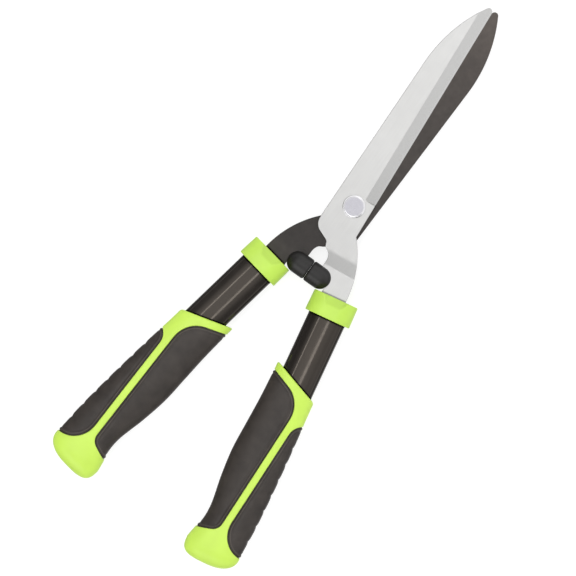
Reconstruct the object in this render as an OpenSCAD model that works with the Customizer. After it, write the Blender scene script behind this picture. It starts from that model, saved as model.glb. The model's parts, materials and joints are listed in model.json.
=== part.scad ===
// Hedge shears, closed and lying flat. +Y runs to the blade tips and +Z is up.
// The origin is the bottom centre of the bounding box.
// Both blades are one plate shape, and the lower one is that shape turned over about the long axis.

/* [Blades] */
// Thickness of each blade plate
blade_t = 3; // [2.6:0.1:3.2]
// Running gap between the two blade plates
blade_gap = 0.1; // [0.06:0.02:0.2]
// Pivot centre to the cutting edge, level with the pivot
edge_x = 15.2; // [14:0.2:16]
// Lean of the cutting edge towards the tip, in degrees
edge_lean = 4.27; // [4.1:0.01:4.4]
// Pivot centre to the back edge, level with the pivot
back_x = 19.4; // [18.6:0.2:20.4]
// Outward lean of the back edge, in degrees
back_lean = 1.5; // [1.2:0.1:2]
// Distance above the pivot where the back edge starts to curve to the tip
back_arc_start = 136.32; // [125:0.01:145]
// Radius of the curved back edge
back_arc_r = 132; // [125:1:140]
// Radius of the rounded tip
tip_r = 3.1; // [2.5:0.1:4]
// Width of the ground bevel
bevel_w = 9.9; // [8:0.1:10]
// Distance above the pivot where the bevel starts
bevel_start = 10.4; // [10:0.2:14]
// Corner radius at the foot of the bevel
bevel_corner_r = 3; // [2:0.5:5]
// Width of the honed strip along the edge
hone_w = 1.3; // [0.8:0.1:2]

/* [Tangs] */
// Length of the bend that brings a tang to the middle plane
joggle_l = 12.8; // [10:0.2:13]
// Distance from the pivot to the bend
joggle_start = 42.2; // [41.5:0.1:43]
// Turn of the bend lines from square, in degrees
joggle_turn = 6.5; // [4:0.5:9]
// Length of the tongue inside the tube
tongue_l = 35; // [25:1:40]

/* [Pivot] */
// Diameter of the bolt shank
bolt_d = 8; // [7:0.5:9]
// Diameter of the bolt head
bolt_head_d = 19.6; // [18:0.2:22]
// Height of the bolt head
bolt_head_h = 2.2; // [1.8:0.1:3]
// Width of the lock nut across its flats
nut_af = 13; // [12:0.5:15]
// Height of the lock nut with its crown
nut_h = 6.5; // [6:0.1:7]

/* [Bumpers] */
// Diameter of each rubber bumper
bumper_d = 19.4; // [18:0.2:19.6]
// Length of each rubber bumper
bumper_l = 21.2; // [20:0.2:22]
// Distance from the pivot back to the bumper axis
bumper_y = 66.7; // [66.4:0.1:66.8]

/* [Handles] */
// Splay of each handle from the centre line, in degrees
splay = 10.65; // [10.4:0.05:11]
// Centre line to the tube axis at the back of the collar
collar_x = 36.9; // [36.6:0.1:37.4]
// Pivot back to the tube axis at the back of the collar
collar_y = 91.7; // [91.4:0.1:92]
// Collar width, thickness and length
collar_w = 41.4; // [40.6:0.2:42]
collar_t = 31; // [30:0.2:31.4]
collar_l = 19; // [18.6:0.1:19.2]
// Tube width, thickness and wall
tube_w = 33.5; // [33:0.1:33.8]
tube_t = 22; // [21.6:0.1:22.4]
tube_wall = 1.2; // [1:0.1:1.6]
// Diameter of the cross rivet
rivet_d = 5; // [4:0.5:6]

/* [Grips] */
// Collar to the butt end of the grip
grip_end = 234.6; // [230:0.2:236]
// Lean of the sloping top rim, in degrees
rim_lean = 25.2; // [22:0.2:27]
// Collar to the sloping top rim, on the tube axis
rim_v = 61.2; // [60:0.2:62.5]
// Thickness of the soft panels
panel_t = 2; // [1.6:0.1:2.2]

/* [Hidden] */
$fn = 64;

// Small clearance between pieces that are fixed together
fit = 0.05;
// Radial running clearance of the lower blade on the bolt
run = 0.05;
// Height of the middle plane, where both tube axes and the joint between the blades lie
mid_z = collar_t / 2;
// Far larger than any piece, for cutting
big = 400;
// Height of a cutting solid that reaches through every piece from the middle plane
tall = 20;

// A smooth curve through a list of points or rows of sizes, with k steps between neighbours
function row(p, i) = p[max(0, min(len(p) - 1, i))];
function blend4(a, b, c, d, t) =
    0.5 * (2 * b + (c - a) * t + (2 * a - 5 * b + 4 * c - d) * t * t + (3 * b - a - 3 * c + d) * t * t * t);
function curve(p, k) = [
    for (i = [0 : len(p) - 2])
        for (j = [0 : k - 1])
            blend4(row(p, i - 1), p[i], p[i + 1], row(p, i + 2), j / k),
    p[len(p) - 1]
];

// A point of the right handle: w across it, positive outwards, and v along it, positive to the pivot
function on_handle(w, v) = [
    collar_x + w * cos(splay) - v * sin(splay),
    -collar_y + w * sin(splay) + v * cos(splay)
];

// A rounded oval with half sizes a and b
oval_power = 2.5;
function oval_point(a, b, angle) = [
    a * sign(cos(angle)) * pow(abs(cos(angle)), 2 / oval_power),
    b * sign(sin(angle)) * pow(abs(sin(angle)), 2 / oval_power)
];
function oval(a, b, count) = [for (i = [0 : count - 1]) oval_point(a, b, (i + 0.5) * 360 / count)];

// Plan outline of a blade, drawn for the upper one about the pivot
back_normal = [cos(back_lean), sin(back_lean)];
back_end = [-back_x - back_arc_start * tan(back_lean), back_arc_start];
back_arc_c = back_end + back_arc_r * back_normal;
edge_dir = [-sin(edge_lean), cos(edge_lean)];
edge_normal = [cos(edge_lean), sin(edge_lean)];
// The tip circle touches the cutting edge and the curved back edge
tip_from = [edge_x, 0] - tip_r * edge_normal - back_arc_c;
tip_along = tip_from * edge_dir;
tip_run = -tip_along + sqrt(tip_along * tip_along - tip_from * tip_from + pow(back_arc_r - tip_r, 2));
tip_c = [edge_x, 0] - tip_r * edge_normal + tip_run * edge_dir;
tip_y = tip_c[1] + tip_r;
tip_angle = atan2(tip_c[1] - back_arc_c[1], tip_c[0] - back_arc_c[0]);

// Where the cutting edge ends, and the round outer side of the tang, by its centre, radius and angles
heel_y = -20.5;
tang_arc_c = [-48.2, -84];
tang_arc_r = 91;
tang_arc_from = 44.3;
tang_arc_turn = -38;
// Sides of the straight tongue, across the handle, and the height where its inner side meets the lug
tongue_outer = 8.75;
tongue_inner = -13.8;
tongue_top = 19.6;
// The lug that carries the bumper: its end, its root and half its width
lug_x = 2.5;
lug_root_x = 19.6;
lug_half = 5.5;
// Steps of the long arcs and of the tip
arc_steps = 16;
tip_steps = 12;
// The stepped inner side of the tang, from the bumper lug up to the back edge
inner_side = [
    [7.5, -56.5], [7.2, -50], [5.2, -45.6], [1.6, -43.3], [-0.9, -41], [-3, -37.2], [-9, -34.6],
    [-14.6, -32], [-18, -27.5], [-18.8, -21.5]
];

function blade_outline() = concat(
    [for (i = [0 : arc_steps])
        let (angle = tang_arc_from + i * tang_arc_turn / arc_steps)
        tang_arc_c + tang_arc_r * [cos(angle), sin(angle)]],
    [on_handle(tongue_outer, -tongue_l), on_handle(tongue_inner, -tongue_l)],
    [on_handle(tongue_inner, tongue_top)],
    [[lug_root_x, -bumper_y - lug_half], [lug_x, -bumper_y - lug_half]],
    [[lug_x, -bumper_y + lug_half], [inner_side[0][0], -bumper_y + lug_half]],
    curve(inner_side, 4),
    [for (i = [0 : arc_steps])
        let (angle = 180 + back_lean + i * (tip_angle - 180 - back_lean) / arc_steps)
        back_arc_c + back_arc_r * [cos(angle), sin(angle)]],
    [for (i = [1 : tip_steps])
        let (angle = tip_angle + i * (edge_lean - tip_angle) / tip_steps)
        tip_c + tip_r * [cos(angle), sin(angle)]],
    [[edge_x, 0] + heel_y / cos(edge_lean) * edge_dir]
);

// Side profile of a blade: flat, then a bend down to the middle plane, then flat again
blade_low = blade_gap / 2;
blade_high = blade_low + blade_t;
tang_half = blade_t / 2;
module side_profile() {
    polygon([
        [big, blade_low], [big, blade_high], [-joggle_start, blade_high],
        [-joggle_start - joggle_l, tang_half], [-big, tang_half], [-big, -tang_half],
        [-joggle_start - joggle_l, -tang_half], [-joggle_start, blade_low]
    ]);
}

// Heights above the blade's flat side: the edge, the top of the honed strip, and the main bevel
// carried on to the edge, so that the two slopes meet where the honed strip ends
edge_h = 0.12;
hone_h = 0.75;
bevel_h = (hone_h - blade_t * hone_w / bevel_w) / (1 - hone_w / bevel_w);
// Cuts one slope that rises from the edge, in the frame of the cutting edge
module edge_cut(width, low, high) {
    translate([edge_x, 0, blade_low + low])
        rotate([0, 0, edge_lean])
            rotate([0, atan((high - low) / width), 0])
                translate([-big / 2, -big / 2, 0])
                    cube([big, big, tall]);
}

// Plan area of the bevel, with its rounded foot
module bevel_area() {
    reach = bevel_w + 0.3;
    past_edge = reach + tall;
    corner_steps = 8;
    translate([edge_x, 0])
        rotate(edge_lean)
            translate([-reach, bevel_start])
                polygon(concat(
                    [for (i = [0 : corner_steps])
                        let (angle = i * 90 / corner_steps)
                        bevel_corner_r * [1 - cos(angle), 1 - sin(angle)]],
                    [[past_edge, 0], [past_edge, big], [0, big]]
                ));
}

module blade_plate() {
    difference() {
        intersection() {
            translate([0, 0, -tall])
                linear_extrude(2 * tall)
                    polygon(blade_outline());
            rotate([0, 0, joggle_turn])
                rotate([90, 0, 90])
                    translate([0, 0, -big / 2])
                        linear_extrude(big)
                            side_profile();
        }
        intersection() {
            linear_extrude(tall)
                bevel_area();
            union() {
                edge_cut(bevel_w, bevel_h, blade_t);
                edge_cut(hone_w, edge_h, hone_h);
            }
        }
        translate([0, 0, -tall])
            linear_extrude(2 * tall)
                translate(on_handle(rivet_w, rivet_v))
                    circle(d = rivet_d + 2 * fit);
    }
}

// Places a shape drawn about the pivot, with z measured from the middle plane
module at_pivot() {
    translate([0, pivot_y, mid_z])
        children();
}
// Places a shape drawn in the right handle's own frame, or its mirror image for the left
module at_handle(side) {
    at_pivot()
        mirror([side == "left" ? 1 : 0, 0, 0])
            translate([collar_x, -collar_y, 0])
                rotate([0, 0, splay])
                    children();
}
module at_tang(side) {
    at_pivot()
        mirror([side == "left" ? 1 : 0, 0, 0])
            children();
}

// Pivot parts
neck_w = bolt_d;
shank_r = bolt_d / 2;
// Length of the shank below the middle plane, and its end chamfer
shank_end = 13.6;
shank_chamfer = 0.6;
// Upright rim of the bolt head, then a slope and a soft shoulder to its flat top
head_rim_h = 0.5;
head_slope_w = 1.6;
head_shoulder = [0.8, 0.1];
// Washers: play on the shank, reach beyond it, thickness, and the cone of the spring washer
washer_play = 0.2;
spring_reach = 5.4;
spring_t = 0.8;
spring_cone = 0.5;
washer_reach = 4.6;
washer_t = 1.6;
stack_top = -blade_high - blade_gap / 2;
washer_top = stack_top - spring_t - spring_cone;
nut_top = washer_top - washer_t;
// Lock nut: the step from hexagon to crown, the crown's wall and end lip, and its nylon ring
crown_step = 0.6;
crown_inset = 0.5;
crown_wall = 0.7;
crown_lip = 0.5;
insert_h = 1.8;

module upper_blade() {
    color("gainsboro")
        at_pivot()
            difference() {
                blade_plate();
                translate([-neck_w / 2 - fit, -neck_w / 2 - fit, -1])
                    cube([neck_w + 2 * fit, neck_w + 2 * fit, 10]);
            }
}

module lower_blade() {
    color("#4c4742")
        at_pivot()
            rotate([0, 180, 0])
                difference() {
                    blade_plate();
                    translate([0, 0, -1])
                        cylinder(r = shank_r + run, h = 10);
                }
}

module pivot_bolt() {
    head_r = bolt_head_d / 2;
    head_top = blade_high + bolt_head_h;
    // The square neck stays clear of the lower blade
    neck_rise = 0.1;
    color("lavender")
        at_pivot() {
            rotate_extrude()
                polygon([
                    [0, -shank_end], [shank_r - shank_chamfer, -shank_end],
                    [shank_r, -shank_end + shank_chamfer], [shank_r, blade_high],
                    [head_r, blade_high], [head_r, blade_high + head_rim_h],
                    [head_r - head_slope_w, head_top - head_shoulder[1]],
                    [head_r - head_slope_w - head_shoulder[0], head_top], [0, head_top]
                ]);
            translate([-neck_w / 2, -neck_w / 2, blade_low + neck_rise])
                cube([neck_w, neck_w, blade_t]);
        }
}

module spring_washer() {
    color("silver")
        at_pivot()
            rotate_extrude()
                polygon([
                    [shank_r + washer_play, stack_top - spring_cone], [shank_r + spring_reach, stack_top],
                    [shank_r + spring_reach, stack_top - spring_t],
                    [shank_r + washer_play, stack_top - spring_t - spring_cone]
                ]);
}

module flat_washer() {
    color("silver")
        at_pivot()
            translate([0, 0, nut_top])
                difference() {
                    cylinder(r = shank_r + washer_reach, h = washer_t);
                    translate([0, 0, -1])
                        cylinder(r = shank_r + washer_play, h = washer_t + 2);
                }
}

module lock_nut() {
    hex_h = nut_h - insert_h - crown_step;
    crown_r = nut_af / 2 - crown_inset;
    color("silver")
        at_pivot()
            translate([0, 0, nut_top])
                difference() {
                    union() {
                        translate([0, 0, -hex_h])
                            cylinder(d = nut_af / cos(30), h = hex_h, $fn = 6);
                        translate([0, 0, -nut_h])
                            cylinder(r = crown_r, h = nut_h - 1);
                    }
                    translate([0, 0, -nut_h - 1])
                        cylinder(r = shank_r + fit, h = nut_h + 2);
                    translate([0, 0, -nut_h + crown_lip])
                        cylinder(r = crown_r - crown_wall, h = insert_h);
                }
}

module nut_insert() {
    insert_r = nut_af / 2 - crown_inset - crown_wall - fit;
    color("royalblue")
        at_pivot()
            translate([0, 0, nut_top - nut_h + crown_lip + fit])
                difference() {
                    cylinder(r = insert_r, h = insert_h - 2 * fit);
                    translate([0, 0, -1])
                        cylinder(r = shank_r + fit, h = insert_h + 2);
                }
}

// Handle parts: the collar's end wall, the tube's lower end, the rivet's place and the plug's length
collar_end_t = 2.4;
socket_v = collar_l - collar_end_t;
tube_end = 212;
rivet_w = -2;
rivet_v = 6;
plug_l = 38;

// A straight oval bar along the handle, from v = low to v = high
module oval_bar(a, b, low, high) {
    translate([0, high, 0])
        rotate([90, 0, 0])
            linear_extrude(high - low)
                polygon(oval(a, b, 48));
}

module tang_slot(margin) {
    translate([0, 0, -tang_half - margin])
        linear_extrude(blade_t + 2 * margin)
            polygon(blade_outline());
}

module rivet_hole(length) {
    translate([rivet_w, rivet_v, -length / 2])
        cylinder(d = rivet_d + 2 * fit, h = length);
}

module tube(side) {
    color("#2e2b2a")
        at_handle(side)
            difference() {
                oval_bar(tube_w / 2, tube_t / 2, -tube_end, socket_v);
                oval_bar(tube_w / 2 - tube_wall, tube_t / 2 - tube_wall, -tube_end - 1, socket_v + 1);
                rivet_hole(tube_t + 4);
            }
}

module collar(side) {
    color("#bcee64") {
        difference() {
            at_handle(side)
                difference() {
                    intersection() {
                        oval_bar(collar_w / 2, collar_t / 2 + 0.4, 0, collar_l);
                        translate([-big / 2, -big / 2, -collar_t / 2])
                            cube([big, big, collar_t]);
                    }
                    oval_bar(tube_w / 2 + fit, tube_t / 2 + fit, -1, socket_v + fit);
                }
            at_tang(side)
                tang_slot(fit);
        }
    }
}

module tang_plug(side) {
    inner_w = tube_w / 2 - tube_wall - fit;
    inner_t = tube_t / 2 - tube_wall - fit;
    color("dimgray") {
        difference() {
            at_handle(side)
                difference() {
                    oval_bar(inner_w, inner_t, -plug_l, socket_v);
                    rivet_hole(tube_t);
                }
            at_tang(side)
                tang_slot(fit);
        }
    }
}

module tang_rivet(side) {
    length = tube_t - 0.2;
    color("silver")
        at_handle(side)
            translate([rivet_w, rivet_v, -length / 2])
                cylinder(d = rivet_d, h = length);
}

module bumper(side) {
    r = bumper_d / 2;
    rim = 1.4;
    rim_steps = 6;
    dome_steps = 12;
    face = blade_gap / 2;
    color("#262423") {
        difference() {
            at_tang(side)
                translate([0, -bumper_y, 0])
                    rotate([0, 90, 0])
                        rotate_extrude()
                            polygon(concat(
                                [[0, face]],
                                [for (i = [0 : rim_steps])
                                    let (angle = i * 90 / rim_steps)
                                    [r - rim + rim * sin(angle), face + rim - rim * cos(angle)]],
                                [for (i = [0 : dome_steps - 1])
                                    let (angle = i * 90 / dome_steps)
                                    [r * cos(angle), bumper_l - r + r * sin(angle)]],
                                [[0, bumper_l]]
                            ));
            at_tang(side)
                tang_slot(fit);
        }
    }
}

// Grip: v along the handle, half widths to the inner and the outer side, and half thickness
grip_sizes = [
    [-40, 22.8, 20.2, 14.2], [-60, 23.1, 20.3, 14.4], [-85, 23.9, 20.4, 14.6], [-110, 25.6, 21, 15],
    [-135, 27.2, 21.2, 15.4], [-160, 26.2, 21.1, 15], [-185, 23.7, 20.6, 14.4], [-200, 24.8, 19.8, 14.7],
    [-210, 28.3, 19, 15.2], [-219, 30.9, 18.8, 15.4]
];
ring_sides = 32;
// The blunt butt: where it starts, its length, its steps, the middle that it closes to, and how
// squarely it closes on the inner side, on the outer side and in thickness
butt_v = grip_sizes[len(grip_sizes) - 1][0];
butt_l = grip_end + butt_v;
butt_steps = 6;
butt_centre = -6;
butt_inner = 3.4;
butt_outer = 2.3;
butt_thick = 2.6;
function butt_factor(h, power) = pow(1 - pow(h, power), 1 / power);

// One ring of the grip, inset evenly; a blunt end factor of 1 is the full size
function grip_ring(s, inset, full_in, full_out, full_t) = [
    for (i = [0 : ring_sides - 1])
        let (angle = (i + 0.5) * 360 / ring_sides)
        let (p = oval_point(1, 1, angle))
        let (side_w = p[0] < 0 ? s[1] - inset + butt_centre : s[2] - inset - butt_centre)
        let (plain = p[0] * (p[0] < 0 ? s[1] - inset : s[2] - inset))
        let (end_w = butt_centre + p[0] * side_w * (p[0] < 0 ? full_in : full_out))
        [full_t < 1 ? end_w : plain, s[0], p[1] * (s[3] - inset) * full_t]
];

// Rings down the grip, then a blunt rounded butt that closes quicker on the outer side
function grip_rings(inset) = concat(
    [for (s = curve(grip_sizes, 2)) grip_ring(s, inset, 1, 1, 1)],
    [for (i = [1 : butt_steps])
        let (h = sin(i * 90 / butt_steps) * 0.999)
        let (s = grip_sizes[len(grip_sizes) - 1])
        grip_ring(
            [butt_v - h * (butt_l - inset), s[1], s[2], s[3]], inset,
            butt_factor(h, butt_inner), butt_factor(h, butt_outer), butt_factor(h, butt_thick)
        )]
);

module grip_skin(inset) {
    rings = grip_rings(inset);
    last = len(rings) - 1;
    polyhedron(
        points = [for (r = rings) for (p = r) p],
        faces = concat(
            [[for (i = [0 : ring_sides - 1]) i]],
            [for (j = [0 : last - 1])
                for (i = [0 : ring_sides - 1])
                    let (k = (i + 1) % ring_sides)
                    [j * ring_sides + k, j * ring_sides + i,
                     (j + 1) * ring_sides + i, (j + 1) * ring_sides + k]],
            [[for (i = [0 : ring_sides - 1]) last * ring_sides + ring_sides - 1 - i]]
        )
    );
}

// Lowest point of the butt, and the pivot's place that centres the whole length on the origin
butt_y = min([for (r = grip_rings(0)) for (p = r) on_handle(p[0], p[1])[1]]);
pivot_y = -(tip_y + butt_y) / 2;

// A path through corners [x, y, radius], each rounded by an arc
function unit(v) = v / norm(v);
function corner_arc(a, b, c, r, k) =
    let (u = unit(a - b), v = unit(c - b), half = acos(u * v) / 2)
    let (centre = b + unit(u + v) * r / sin(half), turn = 180 - 2 * half)
    let (from = b + u * r / tan(half) - centre, to = b + v * r / tan(half) - centre)
    [for (i = [0 : k]) centre + (from * sin(turn * (1 - i / k)) + to * sin(turn * i / k)) / sin(turn)];
function flat_point(p) = [p[0], p[1]];
function rounded(p) = concat(
    [flat_point(p[0])],
    [for (i = [1 : len(p) - 2])
        each corner_arc(flat_point(p[i - 1]), flat_point(p[i]), flat_point(p[i + 1]), p[i][2], 8)],
    [flat_point(p[len(p) - 1])]
);

// Plan outlines of the two soft panels, each open to its own side of the grip
inner_panel_edge = [[-60, -40.4], [9.5, -74.4, 24], [-9, -202.3, 9], [-60, -217]];
outer_panel_edge = [[60, -73.7], [13.4, -97, 12.5], [-3.3, -211.6, 22.5], [60, -230]];

module panel_prism(edge, grow) {
    translate([0, 0, -tall])
        linear_extrude(2 * tall)
            offset(delta = grow)
                polygon(rounded(edge));
}

module grip_panel(side, edge) {
    color("#46423f")
        at_handle(side)
            resize([0, 0, 0])
                intersection() {
                    difference() {
                        grip_skin(0);
                        grip_skin(panel_t - fit);
                    }
                    panel_prism(edge, -fit);
                }
}

module grip_core(side) {
    color("#cdf26e")
        at_handle(side)
            resize([0, 0, 0])
                difference() {
                    grip_skin(0);
                    translate([0, -rim_v, -tall])
                        rotate([0, 0, -rim_lean])
                            translate([-big / 2, 0, 0])
                                cube([big, big, 2 * tall]);
                    difference() {
                        union() {
                            panel_prism(inner_panel_edge, 0);
                            panel_prism(outer_panel_edge, 0);
                        }
                        grip_skin(panel_t);
                    }
                    oval_bar(tube_w / 2 + fit, tube_t / 2 + fit, -tube_end - fit, 10);
                }
}

module right_tube() tube("right");
module left_tube() tube("left");
module right_collar() collar("right");
module left_collar() collar("left");
module right_bumper() bumper("right");
module left_bumper() bumper("left");
module right_tang_plug() tang_plug("right");
module left_tang_plug() tang_plug("left");
module right_tang_rivet() tang_rivet("right");
module left_tang_rivet() tang_rivet("left");
module right_grip_core() grip_core("right");
module left_grip_core() grip_core("left");
module right_inner_panel() grip_panel("right", inner_panel_edge);
module left_inner_panel() grip_panel("left", inner_panel_edge);
module right_outer_panel() grip_panel("right", outer_panel_edge);
module left_outer_panel() grip_panel("left", outer_panel_edge);

upper_blade();
lower_blade();
pivot_bolt();
spring_washer();
flat_washer();
lock_nut();
nut_insert();
right_tube();
left_tube();
right_collar();
left_collar();
right_bumper();
left_bumper();
right_tang_plug();
left_tang_plug();
right_tang_rivet();
left_tang_rivet();
right_grip_core();
left_grip_core();
right_inner_panel();
left_inner_panel();
right_outer_panel();
left_outer_panel();
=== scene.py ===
"""The finished look of the hedge shears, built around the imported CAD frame.

The shape functions work in millimetres, in one of three frames: the pivot's (origin on the bolt axis
in the middle plane), a handle's (w across, positive outwards, v along, positive to the pivot, z up,
origin where the tube enters the collar), or the row frame itself. add_piece() makes metres of them.
"""
import json
import math

import bmesh
import bpy
import numpy as np
from mathutils.geometry import delaunay_2d_cdt
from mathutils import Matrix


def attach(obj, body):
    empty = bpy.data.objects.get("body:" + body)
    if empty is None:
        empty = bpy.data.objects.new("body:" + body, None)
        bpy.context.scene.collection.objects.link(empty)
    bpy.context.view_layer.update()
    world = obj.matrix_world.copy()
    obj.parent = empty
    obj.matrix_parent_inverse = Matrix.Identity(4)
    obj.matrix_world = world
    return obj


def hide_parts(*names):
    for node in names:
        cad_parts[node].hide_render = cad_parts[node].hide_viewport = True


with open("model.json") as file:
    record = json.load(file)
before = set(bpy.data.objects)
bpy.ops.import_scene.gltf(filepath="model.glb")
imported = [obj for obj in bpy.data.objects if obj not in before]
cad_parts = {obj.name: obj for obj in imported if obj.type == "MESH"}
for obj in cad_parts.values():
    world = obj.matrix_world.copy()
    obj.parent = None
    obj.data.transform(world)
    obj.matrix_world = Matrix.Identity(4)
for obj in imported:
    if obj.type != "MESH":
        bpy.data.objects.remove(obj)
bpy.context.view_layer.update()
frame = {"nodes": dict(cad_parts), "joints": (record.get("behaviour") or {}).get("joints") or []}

MM = 0.001
# Distances that count as none, and how many points are compared at a time
WELD, NEAR, BATCH = 1e-7, 1e-4, 500
PIVOT_X, PIVOT_Y, MID_Z = (c / MM for c in frame["joints"][0]["pos_m"])
RIGHT, LEFT = ("right", 1, "right_half"), ("left", -1, "left_half")

# Blades
BLADE_T, BLADE_LOW = 3.0, 0.05
BLADE_HIGH = BLADE_LOW + BLADE_T
# Where edge and back pass the pivot, how far they lean, and the arc that brings the back to the tip
EDGE_X, EDGE_LEAN = 15.2, math.radians(4.27)
BACK_X, BACK_LEAN, BACK_ARC_START, BACK_ARC_R = 19.4, math.radians(1.5), 136.32, 132.0
TIP_R = 3.1
# The bevel and its rounded foot; the honed strip and the plate's thickness at its two sides
BEVEL_W, BEVEL_START, BEVEL_REACH, BEVEL_CORNER = 9.9, 10.4, 10.2, 3.0
HONE_W, EDGE_H, HONE_H = 1.3, 0.12, 0.75
FOOT_SLOPE, GROUND_MIN = 1.7, 0.004
HEEL_Y = -20.5
EDGE_ROUND, EDGE_INSET = 0.12, 0.28
# Numbers of a blade's materials
FACE, BEVEL, HONE, CUT = range(4)
# Tangs: the joggle brings them down to the middle plane, over a soft bend and a crisp one
JOGGLE_START, JOGGLE_END, JOGGLE_TURN = -42.2, -55.0, math.radians(6.5)
JOGGLE_DROP = BLADE_HIGH - BLADE_T / 2
JOGGLE_SOFT, JOGGLE_CRISP = 3.4, 1.2
TANG_ARC_C, TANG_ARC_R, TANG_ARC_FROM, TANG_ARC_TURN = (-48.2, -84.0), 91.0, 44.3, -38.0
TONGUE_OUTER, TONGUE_INNER, TONGUE_L, TONGUE_TOP = 8.75, -13.8, 35.0, 19.6
LUG_X, LUG_ROOT_X, LUG_HALF = 2.5, 19.6, 5.5
# The side between the lug and the blade
INNER_SIDE = [
    (7.5, -56.5), (7.2, -50), (5.2, -45.6), (1.6, -43.3), (-0.9, -41), (-3, -37.2), (-9, -34.6),
    (-14.6, -32), (-18, -27.5), (-18.8, -21.5),
]
RIVET_W, RIVET_V, RIVET_HOLE_R = -2.0, 6.0, 2.55
# The hole for the bolt, which is square in the upper blade, and sizes of the cutting shapes
BORE_R, TANG_PLAY, THROUGH = 4.05, 0.3, 20
# Handles
SPLAY, COLLAR_X, COLLAR_Y = math.radians(10.65), 36.9, -91.7
COLLAR_W, COLLAR_T, COLLAR_L, SOCKET_V = 20.7, 15.5, 19.0, 16.6
COLLAR_ROUND, COLLAR_DRAFT, COLLAR_FLAT, FLAT_SOFT = 0.9, 0.35, 0.4, 0.25
SOCKET_PLAY, MOUTH = 0.06, 0.9
TUBE_W, TUBE_T, TUBE_WALL, TUBE_END = 16.75, 11.0, 1.2, -212.0
OVAL = 2 / 2.5
BUMPER_R, BUMPER_L, BUMPER_Y, BUMPER_RIM, BUMPER_FACE = 9.7, 21.2, -66.7, 2.0, 0.05
# The scoop: half widths at its back and front, length, slopes of its floor and sides, and softness
SCOOP_BACK, SCOOP_FRONT, SCOOP_L, SCOOP_SLOPE, SCOOP_SIDE, SCOOP_SOFT = 6.5, 12.5, 8.5, 0.36, 0.8, 0.8
# Grips: v, half width to the inner side, to the outer side, and half thickness
GRIP_SIZES = [
    (-40, 22.8, 20.2, 14.2), (-60, 23.1, 20.3, 14.4), (-85, 23.9, 20.4, 14.6), (-110, 25.6, 21, 15),
    (-135, 27.2, 21.2, 15.4), (-160, 26.2, 21.1, 15), (-185, 23.7, 20.6, 14.4), (-200, 24.8, 19.8, 14.7),
    (-210, 28.3, 19, 15.2), (-219, 30.9, 18.8, 15.4),
]
# The butt's end, how far its middle moves inwards and over what length, and how it closes on each side
GRIP_END, BUTT_CENTRE, BUTT_SHIFT_L, BUTT_POWERS = -234.6, -6.0, 26, (3.4, 2.3, 2.6)
RIM_LEAN, RIM_V = math.radians(25.2), -61.2
PANEL_T = 2.0
# Corners of the panels' outlines: w, v and the radius that rounds each
INNER_EDGE = [(-60, -40.4, 0), (9.5, -74.4, 24), (-9, -202.3, 9), (-60, -217, 0)]
OUTER_EDGE = [(60, -73.7, 0), (13.4, -97, 12.5), (-3.3, -211.6, 22.5), (60, -230, 0)]
RIB_V, RIB_PITCH, RIB_COUNT, RIB_DEPTH = -113.5, 14.75, 7, 0.80
# The ribs start that far from the panel's outline, and fade between these parts of its full height
RIB_CLEAR, RIB_FADE = (0.6, 3.5), (0.25, 0.93)


# Curves and small sums -----------------------------------------------------------------------------

def smooth_step(x, low, high):
    t = np.clip((np.asarray(x, float) - low) / (high - low), 0, 1)
    return t * t * (3 - 2 * t)


def smooth_curve(rows, steps):
    """A Catmull-Rom curve through the rows, with that many steps between neighbours."""
    rows = np.array(rows, float)
    out = []
    for i in range(len(rows) - 1):
        a, b = rows[max(i - 1, 0)], rows[i]
        c, d = rows[i + 1], rows[min(i + 2, len(rows) - 1)]
        for t in np.arange(steps) / steps:
            out.append(0.5 * (2 * b + (c - a) * t + (2 * a - 5 * b + 4 * c - d) * t * t
                              + (3 * b - a - 3 * c + d) * t ** 3))
    return np.array(out + [rows[-1]])


def arc(centre, radius, start, end, steps):
    angles = np.radians(np.linspace(start, end, steps + 1))
    return np.array(centre) + radius * np.stack([np.cos(angles), np.sin(angles)], 1)


def rounded_path(corners, steps=12):
    """A path through corners (x, y, radius), each rounded by an arc."""
    path = [np.array(corners[0][:2], float)]
    for before, (x, y, r), after in zip(corners, corners[1:-1], corners[2:]):
        b = np.array((x, y), float)
        u, v = np.array(before[:2]) - b, np.array(after[:2]) - b
        u, v = u / np.linalg.norm(u), v / np.linalg.norm(v)
        half = math.acos(u @ v) / 2
        middle = b + (u + v) / np.linalg.norm(u + v) * r / math.sin(half)
        start, end = b + u * r / math.tan(half) - middle, b + v * r / math.tan(half) - middle
        turn = math.pi - 2 * half
        for t in np.linspace(0, 1, steps + 1):
            mix = start * math.sin(turn * (1 - t)) + end * math.sin(turn * t)
            path.append(middle + mix / math.sin(turn))
    path.append(np.array(corners[-1][:2], float))
    return np.array(path)


def resample(path, spacing):
    """The same path with evenly spaced points."""
    length = np.r_[0, np.cumsum(np.linalg.norm(np.diff(path, axis=0), axis=1))]
    at = np.linspace(0, length[-1], max(2, int(round(length[-1] / spacing)) + 1))
    return np.stack([np.interp(at, length, path[:, k]) for k in range(path.shape[1])], 1)


def inside(points, polygon):
    """Which of the points lie inside the polygon."""
    x, y = points[:, 0][:, None], points[:, 1][:, None]
    x0, y0 = polygon[:, 0][None], polygon[:, 1][None]
    x1, y1 = np.roll(polygon[:, 0], -1)[None], np.roll(polygon[:, 1], -1)[None]
    spans = (y0 > y) != (y1 > y)
    with np.errstate(divide="ignore", invalid="ignore"):
        crossing = x < x0 + (y - y0) * (x1 - x0) / (y1 - y0)
    return (spans & crossing).sum(1) % 2 == 1


def distance_to(points, path):
    """How far each point is from the nearest point of the path."""
    out = np.zeros(len(points))
    for start in range(0, len(points), BATCH):
        part = points[start:start + BATCH]
        out[start:start + BATCH] = np.linalg.norm(part[:, None] - path[None], axis=2).min(1)
    return out


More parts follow.
